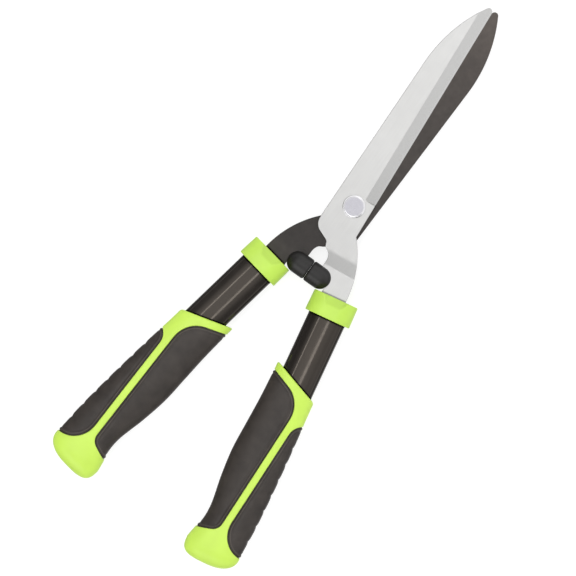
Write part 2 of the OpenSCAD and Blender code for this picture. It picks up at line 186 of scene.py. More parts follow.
def grown(polygon, amount):
    """A counterclockwise polygon moved outwards evenly. Its corners are mitred, sharp ones less."""
    before, after = polygon - np.roll(polygon, 1, 0), np.roll(polygon, -1, 0) - polygon
    normals = []
    for d in (before, after):
        d = d / np.linalg.norm(d, axis=1)[:, None]
        normals.append(np.stack([d[:, 1], -d[:, 0]], 1))
    mean = normals[0] + normals[1]
    scale = 2 / np.maximum((mean ** 2).sum(1), 0.8)
    return polygon + amount * mean * scale[:, None]


# Meshes --------------------------------------------------------------------------------------------

class Shape:
    """Points, and faces that each name one of the piece's materials by number."""

    def __init__(self):
        self.points, self.faces, self.paints = np.zeros((0, 3)), [], []

    def add(self, points, faces, paint=0):
        start = len(self.points)
        self.points = np.vstack([self.points, np.asarray(points, float).reshape(-1, 3)])
        self.faces += [[int(i) + start for i in f] for f in faces]
        self.paints += list(paint) if hasattr(paint, "__len__") else [paint] * len(faces)
        return self

    def mirrored(self, axis):
        """Adds the mirror image. Points on the mirror plane are joined when the piece is made."""
        points = self.points.copy()
        points[:, axis] *= -1
        return self.add(points, [f[::-1] for f in self.faces], list(self.paints))


def grid(rows, closed=False):
    """Points and faces of a grid, from a list of rows with equal numbers of points."""
    count = len(rows[0])
    faces = []
    for j in range(len(rows) - 1):
        for i in range(count if closed else count - 1):
            k = (i + 1) % count
            faces.append([j * count + i, j * count + k, (j + 1) * count + k, (j + 1) * count + i])
    return np.vstack(rows), faces


def fan(ring, middle, closed=False):
    count = len(ring)
    faces = [[i, (i + 1) % count, count] for i in range(count if closed else count - 1)]
    return np.vstack([ring, [middle]]), faces


def turned(profile, around=96, form=None, closed=False):
    """A solid of revolution about Z. form(angle, r, z) may change the radius, as on a hexagon.
    The profile's ends are closed on the axis, or joined to each other if it is a closed one."""
    angles = np.arange(around) * 2 * math.pi / around
    rows = []
    for r, z in profile:
        radius = np.full(around, float(r)) if form is None else form(angles, r, z)
        x, y = radius * np.cos(angles), radius * np.sin(angles)
        rows.append(np.stack([x, y, np.full(around, float(z))], 1))
    shape = Shape()
    shape.add(*grid(rows + [rows[0]] if closed else rows, closed=True))
    if not closed:
        for row, (r, z) in ((rows[0], profile[0]), (rows[-1], profile[-1])):
            shape.add(*fan(row, (0, 0, z), closed=True))
    return shape


def prism(outline, low, high):
    count = len(outline)
    points = np.vstack([np.c_[outline, np.full(count, low)], np.c_[outline, np.full(count, high)]])
    sides = [[i, (i + 1) % count, count + (i + 1) % count, count + i] for i in range(count)]
    return Shape().add(points, sides + [list(range(count))[::-1], list(range(count, 2 * count))])


def at_pivot(points, side=1):
    return np.stack([PIVOT_X + side * points[:, 0], PIVOT_Y + points[:, 1], MID_Z + points[:, 2]], 1)


def on_handle(w, v):
    """A point of the right handle, from the pivot."""
    return (COLLAR_X + w * math.cos(SPLAY) - v * math.sin(SPLAY),
            COLLAR_Y + w * math.sin(SPLAY) + v * math.cos(SPLAY))


def at_handle(points, side=1):
    x, y = on_handle(points[:, 0], points[:, 1])
    return at_pivot(np.stack([x, y, points[:, 2]], 1), side)


def placed(name, data, location=(0, 0, 0), turn=(0, 0, 0)):
    """A new object in the scene."""
    thing = bpy.data.objects.new(name, data)
    thing.location, thing.rotation_euler = location, turn
    bpy.context.scene.collection.objects.link(thing)
    return thing


def new_object(name, points, faces, paints=None, looks=()):
    mesh = bpy.data.meshes.new(name)
    mesh.from_pydata([tuple(p) for p in np.asarray(points) * MM], [], faces)
    for look in looks:
        mesh.materials.append(look)
    if paints is not None:
        mesh.polygons.foreach_set("material_index", paints)
    piece = placed(name, mesh)
    tidy_mesh(piece)
    return piece


UPRIGHT = 0.3


def tidy_mesh(piece, crisp=None, side_crisp=None):
    """Joins equal points and turns the faces outwards. Past the crisp angle, an edge is drawn sharp;
    upright walls may have an angle of their own."""
    work = bmesh.new()
    work.from_mesh(piece.data)
    bmesh.ops.remove_doubles(work, verts=work.verts, dist=WELD)
    bmesh.ops.dissolve_degenerate(work, edges=work.edges, dist=WELD)
    bmesh.ops.recalc_face_normals(work, faces=work.faces)
    for face in work.faces:
        face.smooth = True
    if crisp is not None:
        for edge in work.edges:
            upright = side_crisp is not None and all(abs(f.normal.z) < UPRIGHT for f in edge.link_faces)
            limit = side_crisp if upright else crisp
            edge.smooth = len(edge.link_faces) == 2 and edge.calc_face_angle() < math.radians(limit)
    work.to_mesh(piece.data)
    work.free()


def carve(piece, shapes, place, side):
    """Cuts the shapes out of the piece."""
    for i, shape in enumerate(shapes):
        cutter = new_object(f"cutter_{i}", place(shape.points, side), shape.faces)
        change = piece.modifiers.new("cut", "BOOLEAN")
        change.operation, change.solver, change.object = "DIFFERENCE", "EXACT", cutter
        bpy.context.view_layer.update()
        seen = piece.evaluated_get(bpy.context.evaluated_depsgraph_get())
        done = bpy.data.meshes.new_from_object(seen)
        piece.modifiers.clear()
        piece.data = done
        bpy.data.objects.remove(cutter)


def add_piece(node, shape, place, side, body, looks, crisp=35, side_crisp=None, cuts=()):
    """Makes the finished piece that stands for one CAD node."""
    piece = new_object(f"{node}_finished", place(shape.points, side), shape.faces, shape.paints, looks)
    if cuts:
        carve(piece, cuts, at_pivot, side)
        piece.data.materials.clear()
        piece.data.materials.append(looks[0])
    tidy_mesh(piece, crisp, side_crisp)
    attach(piece, body)
    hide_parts(node)
    return piece


# Materials -----------------------------------------------------------------------------------------

class Value:
    """A socket of a node tree that can be reckoned with like a number."""

    def __init__(self, tree, socket):
        self.tree, self.socket = tree, socket

    def math(self, kind, *others):
        """The result of a math node on this value and others."""
        return value_of(self.tree, kind, self, *others)

    def __add__(self, other):
        return self.math("ADD", other)

    def __sub__(self, other):
        return self.math("SUBTRACT", other)

    def __rsub__(self, number):
        return value_of(self.tree, "SUBTRACT", number, self)

    def __mul__(self, other):
        return self.math("MULTIPLY", other)

    def __truediv__(self, other):
        return self.math("DIVIDE", other)

    def __abs__(self):
        return self.math("ABSOLUTE")


def value_of(tree, kind, *values):
    """A math node on values and numbers."""
    node = tree.nodes.new("ShaderNodeMath")
    node.operation = kind
    for socket, value in zip(node.inputs, values):
        if isinstance(value, Value):
            tree.links.new(value.socket, socket)
        else:
            socket.default_value = value
    return Value(tree, node.outputs[0])


def color_ramp(source, stops):
    """A smooth ramp through colours at places from 0 to 1."""
    node = source.tree.nodes.new("ShaderNodeValToRGB")
    node.color_ramp.interpolation = "EASE"
    for i, (place, color) in enumerate(stops):
        stop = node.color_ramp.elements[i] if i < 2 else node.color_ramp.elements.new(place)
        stop.position, stop.color = place, (*color, 1)
    source.tree.links.new(source.socket, node.inputs["Fac"])
    return Value(source.tree, node.outputs["Color"])


class Look:
    """A procedural material in object coordinates, around one Principled shader."""

    def __init__(self, name, color, roughness, metallic=0.0, specular=0.5):
        self.material = bpy.data.materials.new(name)
        self.material.use_nodes = True
        self.tree = self.material.node_tree
        self.shader = self.tree.nodes["Principled BSDF"]
        self.set("Base Color", (*color, 1))
        self.set("Roughness", roughness)
        self.set("Metallic", metallic)
        self.set("Specular IOR Level", specular)
        self.place = self.tree.nodes.new("ShaderNodeTexCoord").outputs["Object"]
        self.plain = color
        self.base = self.normal = None

    def set(self, socket, value):
        self.shader.inputs[socket].default_value = value

    def link(self, source, target):
        """Links a value or a plain socket to an input."""
        self.tree.links.new(source.socket if isinstance(source, Value) else source, target)

    def node(self, kind, source, into, values=()):
        """A new node with one input linked to the source and others set."""
        node = self.tree.nodes.new("ShaderNode" + kind)
        self.link(source, node.inputs[into])
        for name, value in dict(values).items():
            node.inputs[name].default_value = value
        return node

    def noise(self, size, detail=3.0, stretch=(1, 1, 1), turn=0.0):
        """Noise with grains of that size in millimetres, drawn out by the stretch along each axis."""
        mapping = self.node("Mapping", self.place, "Vector",
                            {"Rotation": (0, 0, turn), "Scale": [1 / s for s in stretch]})
        grain = self.node("TexNoise", mapping.outputs["Vector"], "Vector",
                          {"Scale": 1 / (size * MM), "Detail": detail, "Roughness": 0.5})
        return grain.outputs["Fac"]

    def cells(self, size):
        """Rounded cells of that size in millimetres, as on a fine leather grain."""
        grain = self.node("TexVoronoi", self.place, "Vector", {"Scale": 1 / (size * MM)})
        grain.feature = "SMOOTH_F1"
        grain.inputs["Smoothness"].default_value = 0.6
        return grain.outputs["Distance"]

    def spread(self, source, low, high, start=0.3, end=0.7):
        """Turns the range from start to end into the one from low to high."""
        ends = {"From Min": start, "From Max": end, "To Min": low, "To Max": high}
        return Value(self.tree, self.node("MapRange", source, "Value", ends).outputs["Result"])

    def painted(self, base):
        """Makes this socket the base colour."""
        self.base = base
        self.link(base, self.shader.inputs["Base Color"])
        return self

    def color(self, source, low, high, start=0.3, end=0.7):
        """Blends the base colour between two colours by the noise."""
        ramp = self.node("ValToRGB", source, "Fac")
        for stop, place, color in zip(ramp.color_ramp.elements, (start, end), (low, high)):
            stop.position, stop.color = place, (*color, 1)
        return self.painted(ramp.outputs["Color"])

    def mottled(self, source, low, high):
        """Varies the plain colour by the noise, between two factors."""
        return self.color(source, shade(self.plain, low), shade(self.plain, high))

    def axes(self):
        """X, Y and Z in metres."""
        return [Value(self.tree, s) for s in self.node("SeparateXYZ", self.place, 0).outputs]

    def tint(self, factor):
        """Multiplies the base colour by a number or a grey."""
        node = self.node("VectorMath", self.base, 0)
        node.operation = "MULTIPLY"
        self.link(factor, node.inputs[1])
        return self.painted(node.outputs["Vector"])

    def along(self, stops):
        """A tone that changes along the shears, given as millimetres of Y and factors up to 2."""
        low, high = stops[0][0], stops[-1][0]
        at = self.spread(self.axes()[1], 0, 1, low * MM, high * MM)
        places = [((y - low) / (high - low), (factor / 2,) * 3) for y, factor in stops]
        return self.tint(color_ramp(at, places) * 2)

    def handle_place(self):
        """w and v of the nearer handle, in millimetres."""
        x, y, _ = self.axes()
        x, y = abs(x) / MM - COLLAR_X, y / MM - (PIVOT_Y + COLLAR_Y)
        c, s = math.cos(SPLAY), math.sin(SPLAY)
        return x * c + y * s, y * c - x * s

    def painted_shade_beside(self, distance, reach, amount, specular=0.5):
        """Painted shade: darker and duller within that reach of a joint, where a tang or tube meets the
        collar or the grip's rim.
        """
        left = 1 - self.spread(distance, amount, 0, 0.4 * reach, reach)
        self.link(left * specular, self.shader.inputs["Specular IOR Level"])
        return self.tint(left)

    def painted_scoop_shade(self, amount, reach=2.0):
        """Painted shade: a deeper tone in the scoop on top of each collar."""
        w, v = self.handle_place()
        from_back = v - (COLLAR_L - SCOOP_L)
        from_side = from_back * ((SCOOP_FRONT - SCOOP_BACK) / SCOOP_L) + SCOOP_BACK - abs(w)
        into = from_back.math("MINIMUM", from_side)
        on_top = self.axes()[2].math("GREATER_THAN", MID_Z * MM)
        return self.tint(1 - self.spread(into, 0, amount, 0, reach) * on_top)

    def roughness(self, source, low, high):
        self.link(self.spread(source, low, high), self.shader.inputs["Roughness"])
        return self

    def bump(self, source, depth, strength=1.0):
        """Raises the surface by up to that depth in millimetres. Later calls add to earlier ones."""
        node = self.node("Bump", source, "Height", {"Strength": strength, "Distance": depth * MM})
        if self.normal is not None:
            self.link(self.normal, node.inputs["Normal"])
        self.normal = node.outputs["Normal"]
        self.link(self.normal, self.shader.inputs["Normal"])
        return self


def shade(color, factor):
    return tuple(c * factor for c in color)


def steel_look(name, color, roughness, line, turn=0.0, streaks=0.03, depth=0.004):
    """Ground steel with fine lines; line is the stretch along each axis."""
    look = Look(name, color, roughness, metallic=1.0)
    fine, broad = look.noise(0.16, 2, line, turn), look.noise(9, 3)
    look.mottled(look.noise(0.5, 4, line, turn), 1 - streaks, 1 + streaks)
    look.along(STEEL_TONE)
    # Painted shade on the tang where it goes into the collar
    look.painted_shade_beside(look.handle_place()[1] - COLLAR_L, 1.8, 0.5)
    look.roughness(broad, roughness - 0.015, roughness + 0.015)
    return look.bump(fine, depth, 0.5).material


def coated_look(name, color, roughness, specular=0.32):
    """A thin baked coating over a ground surface."""
    look = Look(name, color, roughness, specular=specular)
    look.mottled(look.noise(6, 5), 0.88, 1.12)
    look.along(COATING_TONE)
    # Painted shade on the tang where it goes into the collar
    look.painted_shade_beside(look.handle_place()[1] - COLLAR_L, 2.0, 1.0, specular)
    look.roughness(look.noise(2.5, 4), roughness - 0.05, roughness + 0.07)
    look.bump(look.noise(0.35, 3), 0.012, 0.5)
    return look.bump(look.noise(0.25, 2, stretch=(1, 40, 1)), 0.006, 0.4).material


def zinc_look(name, color, roughness):
    """Bright zinc plating, slightly cloudy."""
    look = Look(name, color, roughness, metallic=1.0)
    look.mottled(look.noise(1.6, 5), 0.86, 1.1)
    look.roughness(look.noise(1.1, 4), roughness - 0.06, roughness + 0.12)
    return look.bump(look.noise(0.3, 3), 0.006, 0.5).material


def bolt_look(name, color, roughness):
    """Satin plated steel with a faint grain."""
    look = Look(name, color, roughness, metallic=1.0)
    look.mottled(look.noise(3, 4), 0.97, 1.03)
    look.roughness(look.noise(0.8, 4), roughness - 0.03, roughness + 0.05)
    return look.bump(look.noise(0.5, 2), 0.002, 0.5).material


def paint_look(name, color, roughness):
    """Gloss stoved paint with a little orange peel."""
    look = Look(name, color, roughness, specular=0.5)
    look.set("Specular Tint", (*WARM, 1))
    look.mottled(look.noise(14, 4), 0.9, 1.12)
    w, v = look.handle_place()
    over_rim = v + w * math.tan(RIM_LEAN) - RIM_V
    # Painted shade on the tube beside the collar and the grip's rim
    look.painted_shade_beside((v * -1).math("MINIMUM", over_rim), 2.0, 1.0)
    look.roughness(look.noise(4, 3), roughness - 0.03, roughness + 0.04)
    return look.bump(look.noise(1.1, 2), 0.006, 0.5).material


def plastic_look(name, low, high, roughness, mottle=16, depth=0.010, scoop=0.0):
    """Hard moulded plastic with a slight variation of tone and a fine spark-eroded texture. A scoop above 0
    darkens the collars' scoop as painted shade.
    """
    look = Look(name, high, roughness)
    look.color(look.noise(mottle, 2), low, high)
    if scoop:
        look.painted_scoop_shade(scoop)
    look.roughness(look.noise(3, 3), roughness - 0.04, roughness + 0.05)
    return look.bump(look.noise(0.45, 3), depth, 0.5).bump(look.noise(5, 2), 0.03, 0.35).material


def rubber_look(name, color, roughness, grain, depth):
    """Soft moulded rubber with a fine closed grain."""
    look = Look(name, color, roughness, specular=0.42)
    look.mottled(look.noise(12, 4), 0.78, 1.22)
    look.roughness(look.noise(1.5, 4), roughness - 0.05, roughness + 0.06)
    return look.bump(look.cells(grain), depth, 0.6).bump(look.noise(0.25, 2), 0.006, 0.4).material


ALONG_BLADE, ACROSS_BLADE = (1, 60, 1), (60, 1, 1)
WARM = (1.0, 0.88, 0.76)
SILVER, LAVENDER = (0.508, 0.506, 0.500), (0.410, 0.404, 0.437)
PANEL_TONE = (0.0350, 0.0285, 0.0245)
COATING, GREEN, GRIP_GREEN = (0.047, 0.0390, 0.0345), (0.505, 0.760, 0.092), (0.555, 0.805, 0.098)
# The ground faces are a little brighter at the tip than at the tang; the coating is darkest just past the
# pivot and much lighter at the tip
STEEL_TONE = [(-40, 0.91), (8, 0.91), (20, 0.90), (60, 0.96), (130, 1.03), (266, 1.08)]
COATING_TONE = [
    (-40, 0.85), (-5, 0.85), (3, 0.53), (30, 0.55), (60, 0.78), (130, 0.95), (200, 1.2), (266, 1.8),
]
steel_face = steel_look("steel_face", SILVER, 0.30, ALONG_BLADE)
steel_bevel = steel_look("steel_bevel", shade(SILVER, 1.15), 0.34, ACROSS_BLADE, EDGE_LEAN, 0.05, 0.006)
# The honed strip: its own finish, and also brighter as a painted highlight along the cutting edge
steel_hone_highlight = steel_look("steel_hone_highlight", shade(SILVER, 1.2), 0.22, ACROSS_BLADE, EDGE_LEAN, 0.02)
steel_cut = steel_look("steel_cut", shade(SILVER, 0.82), 0.42, (1, 1, 25), 0.0, 0.06, 0.010)
coating = coated_look("blade_coating", COATING, 0.38)
bolt_steel = bolt_look("bolt_steel", LAVENDER, 0.27)
# The head's rim: a brighter, glossier copy of the bolt's steel, a painted highlight
bolt_rim_highlight = bolt_look("bolt_rim_highlight", (0.72, 0.715, 0.73), 0.12)
zinc_steel = zinc_look("zinc_steel", (0.60, 0.61, 0.63), 0.34)
rivet_steel = zinc_look("rivet_steel", (0.55, 0.55, 0.56), 0.40)
nylon = plastic_look("nylon", (0.70, 0.70, 0.66), (0.78, 0.78, 0.75), 0.45, 2)
tube_paint = paint_look("tube_paint", (0.0185, 0.0160, 0.0145), 0.085)
# The collars take painted shade in their scoop
green_plastic = plastic_look("green_plastic", shade(GREEN, 0.93), GREEN, 0.38, scoop=0.10)
grip_green = plastic_look("grip_green", shade(GRIP_GREEN, 0.94), GRIP_GREEN, 0.40)
bumper_rubber = rubber_look("bumper_rubber", (0.0125, 0.0115, 0.0112), 0.42, 0.5, 0.010)
soft_panel = rubber_look("soft_panel", PANEL_TONE, 0.50, 0.75, 0.030)
# A brighter, glossier copy of the panel rubber on the bead's crest: painted highlight
bead_highlight = rubber_look("bead_highlight", shade(PANEL_TONE, 1.7), 0.36, 0.75, 0.015)
plug_plastic = plastic_look("plug_plastic", (0.09, 0.09, 0.09), (0.11, 0.11, 0.11), 0.6, 6)


# Blades, drawn for the upper one about the pivot ------------------------------------------------------

EDGE_DIR = np.array((-math.sin(EDGE_LEAN), math.cos(EDGE_LEAN)))
EDGE_NORMAL = np.array((math.cos(EDGE_LEAN), math.sin(EDGE_LEAN)))
EDGE_FOOT = np.array((EDGE_X, 0.0))


def from_edge(u, s):
    """The point at depth u behind the cutting edge and distance s along it."""
    return EDGE_FOOT + s * EDGE_DIR - u * EDGE_NORMAL


def blade_outline():
    back_normal = np.array((math.cos(BACK_LEAN), math.sin(BACK_LEAN)))
    back_end = np.array((-BACK_X - BACK_ARC_START * math.tan(BACK_LEAN), BACK_ARC_START))
    back_c = back_end + BACK_ARC_R * back_normal
    start = EDGE_FOOT - TIP_R * EDGE_NORMAL - back_c
    along = start @ EDGE_DIR
    run = -along + math.sqrt(along ** 2 - start @ start + (BACK_ARC_R - TIP_R) ** 2)
    tip_c = EDGE_FOOT - TIP_R * EDGE_NORMAL + run * EDGE_DIR
    tip_angle = math.degrees(math.atan2(*(tip_c - back_c)[::-1]))
    lean, back = math.degrees(EDGE_LEAN), 180 + math.degrees(BACK_LEAN)
    corners = [
        on_handle(TONGUE_OUTER, -TONGUE_L), on_handle(TONGUE_INNER, -TONGUE_L),
        on_handle(TONGUE_INNER, TONGUE_TOP), (LUG_ROOT_X, BUMPER_Y - LUG_HALF),
        (LUG_X, BUMPER_Y - LUG_HALF), (LUG_X, BUMPER_Y + LUG_HALF), (INNER_SIDE[0][0], BUMPER_Y + LUG_HALF),
    ]
    outline = np.vstack([
        arc(TANG_ARC_C, TANG_ARC_R, TANG_ARC_FROM, TANG_ARC_FROM + TANG_ARC_TURN, 48), corners,
        smooth_curve(INNER_SIDE, 10), arc(back_c, BACK_ARC_R, back, tip_angle, 60),
        arc(tip_c, TIP_R, tip_angle, lean, 24)[1:], [from_edge(0, HEEL_Y / math.cos(EDGE_LEAN))],
    ])
    return outline[::-1]


def with_crossings(outline, normal, distance):
    """The outline with a point added wherever the line normal . p = distance crosses it."""
    out = []
    for a, b in zip(outline, np.roll(outline, -1, 0)):
        out.append(a)
        da, db = a @ normal - distance, b @ normal - distance
        if da * db < 0 and min(abs(da), abs(db)) > NEAR:
            out.append(a + (b - a) * da / (da - db))
    return np.array(out)


def joggle_drop(p):
    """How far the plate has come down towards the middle plane, with a soft and a crisp bend."""
    j = p @ JOGGLE_DIR

    def bend(x, width):
        return np.where(x < -width / 2, 0, np.where(x > width / 2, x, (x + width / 2) ** 2 / (2 * width)))

    slope = JOGGLE_DROP / (JOGGLE_START - JOGGLE_END)
    return slope * (bend(JOGGLE_START - j, JOGGLE_SOFT) - bend(JOGGLE_END - j, JOGGLE_CRISP))


JOGGLE_DIR = np.array((-math.sin(JOGGLE_TURN), math.cos(JOGGLE_TURN)))
BEVEL_H = (HONE_H - BLADE_T * HONE_W / BEVEL_W) / (1 - HONE_W / BEVEL_W)


def bevel_height(u):
    """Height of the two ground slopes above the flat side."""
    main = BEVEL_H + u * (BLADE_T - BEVEL_H) / BEVEL_W
    return np.minimum(main, EDGE_H + u * (HONE_H - EDGE_H) / HONE_W)


def foot_distance(u, s):
    """Distance into the ground area from its rounded foot."""
    cu, cs = BEVEL_REACH - BEVEL_CORNER, BEVEL_START + BEVEL_CORNER
    corner = BEVEL_CORNER - np.hypot(u - cu, s - cs)
    return np.where((u > cu) & (s < cs), corner, np.minimum(s - BEVEL_START, BEVEL_REACH - u))


def plate_top(p):
    u, s = -(p - EDGE_FOOT) @ EDGE_NORMAL, (p - EDGE_FOOT) @ EDGE_DIR
    foot = foot_distance(u, s)
    ground = np.maximum(bevel_height(u), BLADE_T - FOOT_SLOPE * foot)
    height = np.where(foot > 0, np.minimum(BLADE_T, ground), BLADE_T)
    return BLADE_LOW + height - joggle_drop(p)


def plate_low(p):
    return BLADE_LOW - joggle_drop(p)


def foot_lines():
    """The outer and inner lines of the bevel's foot, from the grind line to the cutting edge. The inner
    one is where the foot's slope meets the bevel, found by halving."""
    cu, cs = BEVEL_REACH - BEVEL_CORNER, BEVEL_START + BEVEL_CORNER
    outer, inner = [], []
    first = math.asin((BEVEL_W - cu) / BEVEL_CORNER)
    places = [(cu + BEVEL_CORNER * math.sin(a), cs - BEVEL_CORNER * math.cos(a), -math.sin(a), math.cos(a))
              for a in np.linspace(first, 0, 10)]
    places += [(u, BEVEL_START, 0, 1) for u in (5.2, 3.6, 2.2, HONE_W, 0.6, 0)]
    for u, s, du, ds in places:
        near, far = 0.0, 3.0
        for _ in range(40):
            t = (near + far) / 2
            above = BLADE_T - FOOT_SLOPE * t > bevel_height(u + t * du)
            near, far = (t, far) if above else (near, t)
        outer.append(from_edge(u, s))
        inner.append(from_edge(u + near * du, s + near * ds))
    inner[0] = outer[0]
    return np.array(outer), np.array(inner)


def triangles(points, boundary, lines):
    """Triangles inside the boundary, which is a loop of point numbers, with the lines kept as edges.
    Returns the points, which may be more than before where lines cross, the triangles, and the numbers
    that each point had before."""
    edges = [(a, b) for line in lines for a, b in zip(line, line[1:])]
    out = delaunay_2d_cdt([tuple(p) for p in points], edges, [list(boundary)], 1, WELD, True)
    flat, faces = np.array([tuple(p) for p in out[0]]), np.array(out[2])
    within = [inside(part, points[list(boundary)]) for part in np.array_split(flat[faces].mean(1), 20)]
    return flat, faces[np.concatenate(within)], out[3]


def plate_face(rings, holes, lines, height, lift):
    """One broad face of a plate: triangles inside the outer ring, its rim lifted off the face a little."""
    points, runs = np.vstack(rings + holes + lines), []
    start = 0
    for i, part in enumerate(rings + holes + lines):
        run = list(range(start, start + len(part)))
        runs.append(run if i >= len(rings) + len(holes) else run + run[:1])
        start += len(part)
    flat, faces, _ = triangles(points, runs[0][:-1], runs[1:])
    middle = flat[faces].mean(1)
    for hole in holes:
        keep = ~inside(middle, hole)
        faces, middle = faces[keep], middle[keep]
    z = height(flat)
    rim = distance_to(flat, rings[0]) < NEAR / 10
    z[rim] += lift(flat[rim])
    return flat, z, faces, middle


def blade_shape(hole):
    """The plate with its bevel, honed strip, bent tang and softened edges. Materials: face, bevel,
    honed strip, cut sides."""
    outline = blade_outline()
    joggles = [JOGGLE_START + JOGGLE_SOFT * t for t in np.linspace(-0.5, 0.5, 7)]
    joggles += [JOGGLE_END + JOGGLE_CRISP * t for t in np.linspace(-0.5, 0.5, 4)]
    for j in joggles:
        outline = with_crossings(outline, JOGGLE_DIR, j)
    outer, inner = foot_lines()
    for u in (BEVEL_W, HONE_W):
        outline = with_crossings(outline, EDGE_NORMAL, EDGE_FOOT @ EDGE_NORMAL - u)
    for end in (outer[-1], inner[-1]):
        outline = with_crossings(outline, EDGE_DIR, EDGE_FOOT @ EDGE_DIR + (end - EDGE_FOOT) @ EDGE_DIR)
    rivet = arc(on_handle(RIVET_W, RIVET_V), RIVET_HOLE_R, 0, 360, 40)[:-1]

    def crossings(normal, distance):
        found = outline[np.abs(outline @ normal - distance) < NEAR]
        return found[np.argsort(found @ np.array((-normal[1], normal[0])))]

    def grind_line(u, start):
        """A line along the edge, from the foot to where it runs out near the tip."""
        ends = crossings(EDGE_NORMAL, EDGE_FOOT @ EDGE_NORMAL - u)
        top = ends[np.argmax(ends[:, 1])]
        return resample(np.array([start, top]), 6)

    hone_start = inner[np.argmin(np.abs((EDGE_FOOT - inner) @ EDGE_NORMAL - HONE_W))]
    lines = [outer, inner, grind_line(BEVEL_W, outer[0]), grind_line(HONE_W, hone_start)]
    bends = [crossings(JOGGLE_DIR, j)[[0, -1]] for j in joggles]
    inset = grown(outline, -EDGE_INSET)

    def rounding(p):
        return np.minimum(EDGE_ROUND, 0.3 * (plate_top(p) - plate_low(p)))

    def wall(loop, soften=lambda p: 0):
        ring = np.vstack([loop, loop[:1]])
        top, low = plate_top(ring) - soften(ring), plate_low(ring) + soften(ring)
        shape.add(*grid([np.c_[ring, top], np.c_[ring, low]]), paint=CUT)

    shape = Shape()
    flat, z, faces, middle = plate_face([outline, inset], [hole, rivet], lines + bends, plate_top,
                                        lambda p: -rounding(p))
    u = -(middle - EDGE_FOOT) @ EDGE_NORMAL
    ground = plate_top(middle) < BLADE_HIGH - joggle_drop(middle) - GROUND_MIN
    paint = np.where(ground, np.where(u < HONE_W, HONE, BEVEL), FACE)
    shape.add(np.c_[flat, z], faces, paint)
    flat, z, faces, _ = plate_face([outline, inset], [hole, rivet], bends, plate_low, rounding)
    shape.add(np.c_[flat, z], faces[:, ::-1], FACE)
    wall(outline, rounding)
    wall(hole)
    wall(rivet)
    return shape


def turned_over(shape):
    """The same plate turned over about its long axis."""
    shape.points = shape.points * (-1, 1, -1)
    return shape


# Pivot ---------------------------------------------------------------------------------------------

# Steps of less than 0.5 in the profiles below are softened edges and play between pieces
SHANK_R, SHANK_END, SHANK_CHAMFER = 4.0, -13.6, 0.9
THREAD_TOP, THREAD_PITCH, THREAD_DEPTH, THREAD_FADE = -5.2, 1.25, 0.5, 0.8
HEAD_R, HEAD_H = 9.8, 2.2
# The head's flat disc, the step round it, and the slope of the brim in degrees
DISC_R, CROWN_EDGE, CROWN_DROP, BRIM_SLOPE = 8.1, 9.0, 0.22, 9
STACK_TOP = -BLADE_HIGH - 0.05
SPRING_T, SPRING_W, SPRING_CONE = 0.8, 5.4, 0.5
WASHER_T, WASHER_W = 1.6, 4.6
WASHER_TOP = STACK_TOP - SPRING_T - SPRING_CONE
NUT_TOP = WASHER_TOP - WASHER_T
# The nut across its flats, its height, and the crown with the rolled lip that keeps the ring in
NUT_AF, NUT_H, CROWN_R, CROWN_H, CROWN_WALL, CROWN_LIP = 13.0, 6.5, 6.0, 2.4, 0.7, 0.5
NUT_CHAMFER, THREAD_R, INSERT_T = 0.6, 4.06, 1.75


def bolt_shape():
    """Low round head, square neck, and a shank with its thread."""
    neck_low = BLADE_LOW + 0.1
    end_r = SHANK_R - SHANK_CHAMFER

    def form(angle, r, z):
        if z <= THREAD_TOP:
            turn = ((z - SHANK_END) / THREAD_PITCH - angle / (2 * math.pi)) % 1
            fade = smooth_step(THREAD_TOP - z, 0, THREAD_FADE)
            return np.minimum(r, SHANK_R - THREAD_DEPTH * (1 - np.abs(2 * turn - 1)) * fade)
        if neck_low < z < BLADE_HIGH and r > SHANK_R:
            return SHANK_R / np.maximum(np.abs(np.cos(angle)), np.abs(np.sin(angle)))
        return np.full(len(angle), float(r))

    top = BLADE_HIGH + HEAD_H
    brim, brim_slope = top - CROWN_DROP, math.radians(BRIM_SLOPE)
    profile = [(end_r, SHANK_END)]
    profile += [(end_r + (z - SHANK_END) * SHANK_CHAMFER if z < SHANK_END + 1 else SHANK_R, z)
                for z in np.arange(SHANK_END + 0.1, THREAD_TOP, 0.1)]
    # form() makes a square of the radii beyond the shank's that lie inside the upper blade
    profile += [(SHANK_R, THREAD_TOP + 0.05), (SHANK_R, neck_low), (SHANK_R + 1, neck_low + 0.02),
                (SHANK_R + 1, BLADE_HIGH - 0.02), (SHANK_R + 1.8, BLADE_HIGH), (HEAD_R - 0.15, BLADE_HIGH)]
    edge_z = brim - (HEAD_R - CROWN_EDGE) * math.tan(brim_slope)
    profile += [(HEAD_R, BLADE_HIGH + 0.15), (HEAD_R, edge_z - 0.12), (HEAD_R - 0.04, edge_z - 0.04)]
    profile += [(HEAD_R - 0.12, edge_z + 0.01)]
    width = CROWN_EDGE - DISC_R
    for t in np.linspace(0, 1, 10):
        fall = (t - math.sin(2 * math.pi * t) / (2 * math.pi)) * CROWN_DROP
        profile.append((CROWN_EDGE - t * width, brim + fall))
    profile += [(7.6, top), (6, top), (2, top)]
    shape = turned(profile, form=form)
    radius = np.hypot(shape.points[:, 0], shape.points[:, 1])
    # Faces of the head's rim take the painted highlight
    shape.paints = [int(min(radius[f]) > DISC_R - 0.05 and min(shape.points[f, 2]) > BLADE_HIGH)
                    for f in shape.faces]
    return shape


def washer_shape(width, top, thick, chamfer, cone=0.0):
    """A ring round the shank with chamfered edges. Its inner edge may lie lower, as on a conical one."""
    low, high, c, under = SHANK_R + 0.2, SHANK_R + width, chamfer, top - thick
    return turned([
        (low, top - cone - c), (low + c, top - cone), (high - c, top), (high, top - c),
        (high, under + c), (high - c, under), (low + c, under - cone), (low, under - cone + c),
    ], closed=True)


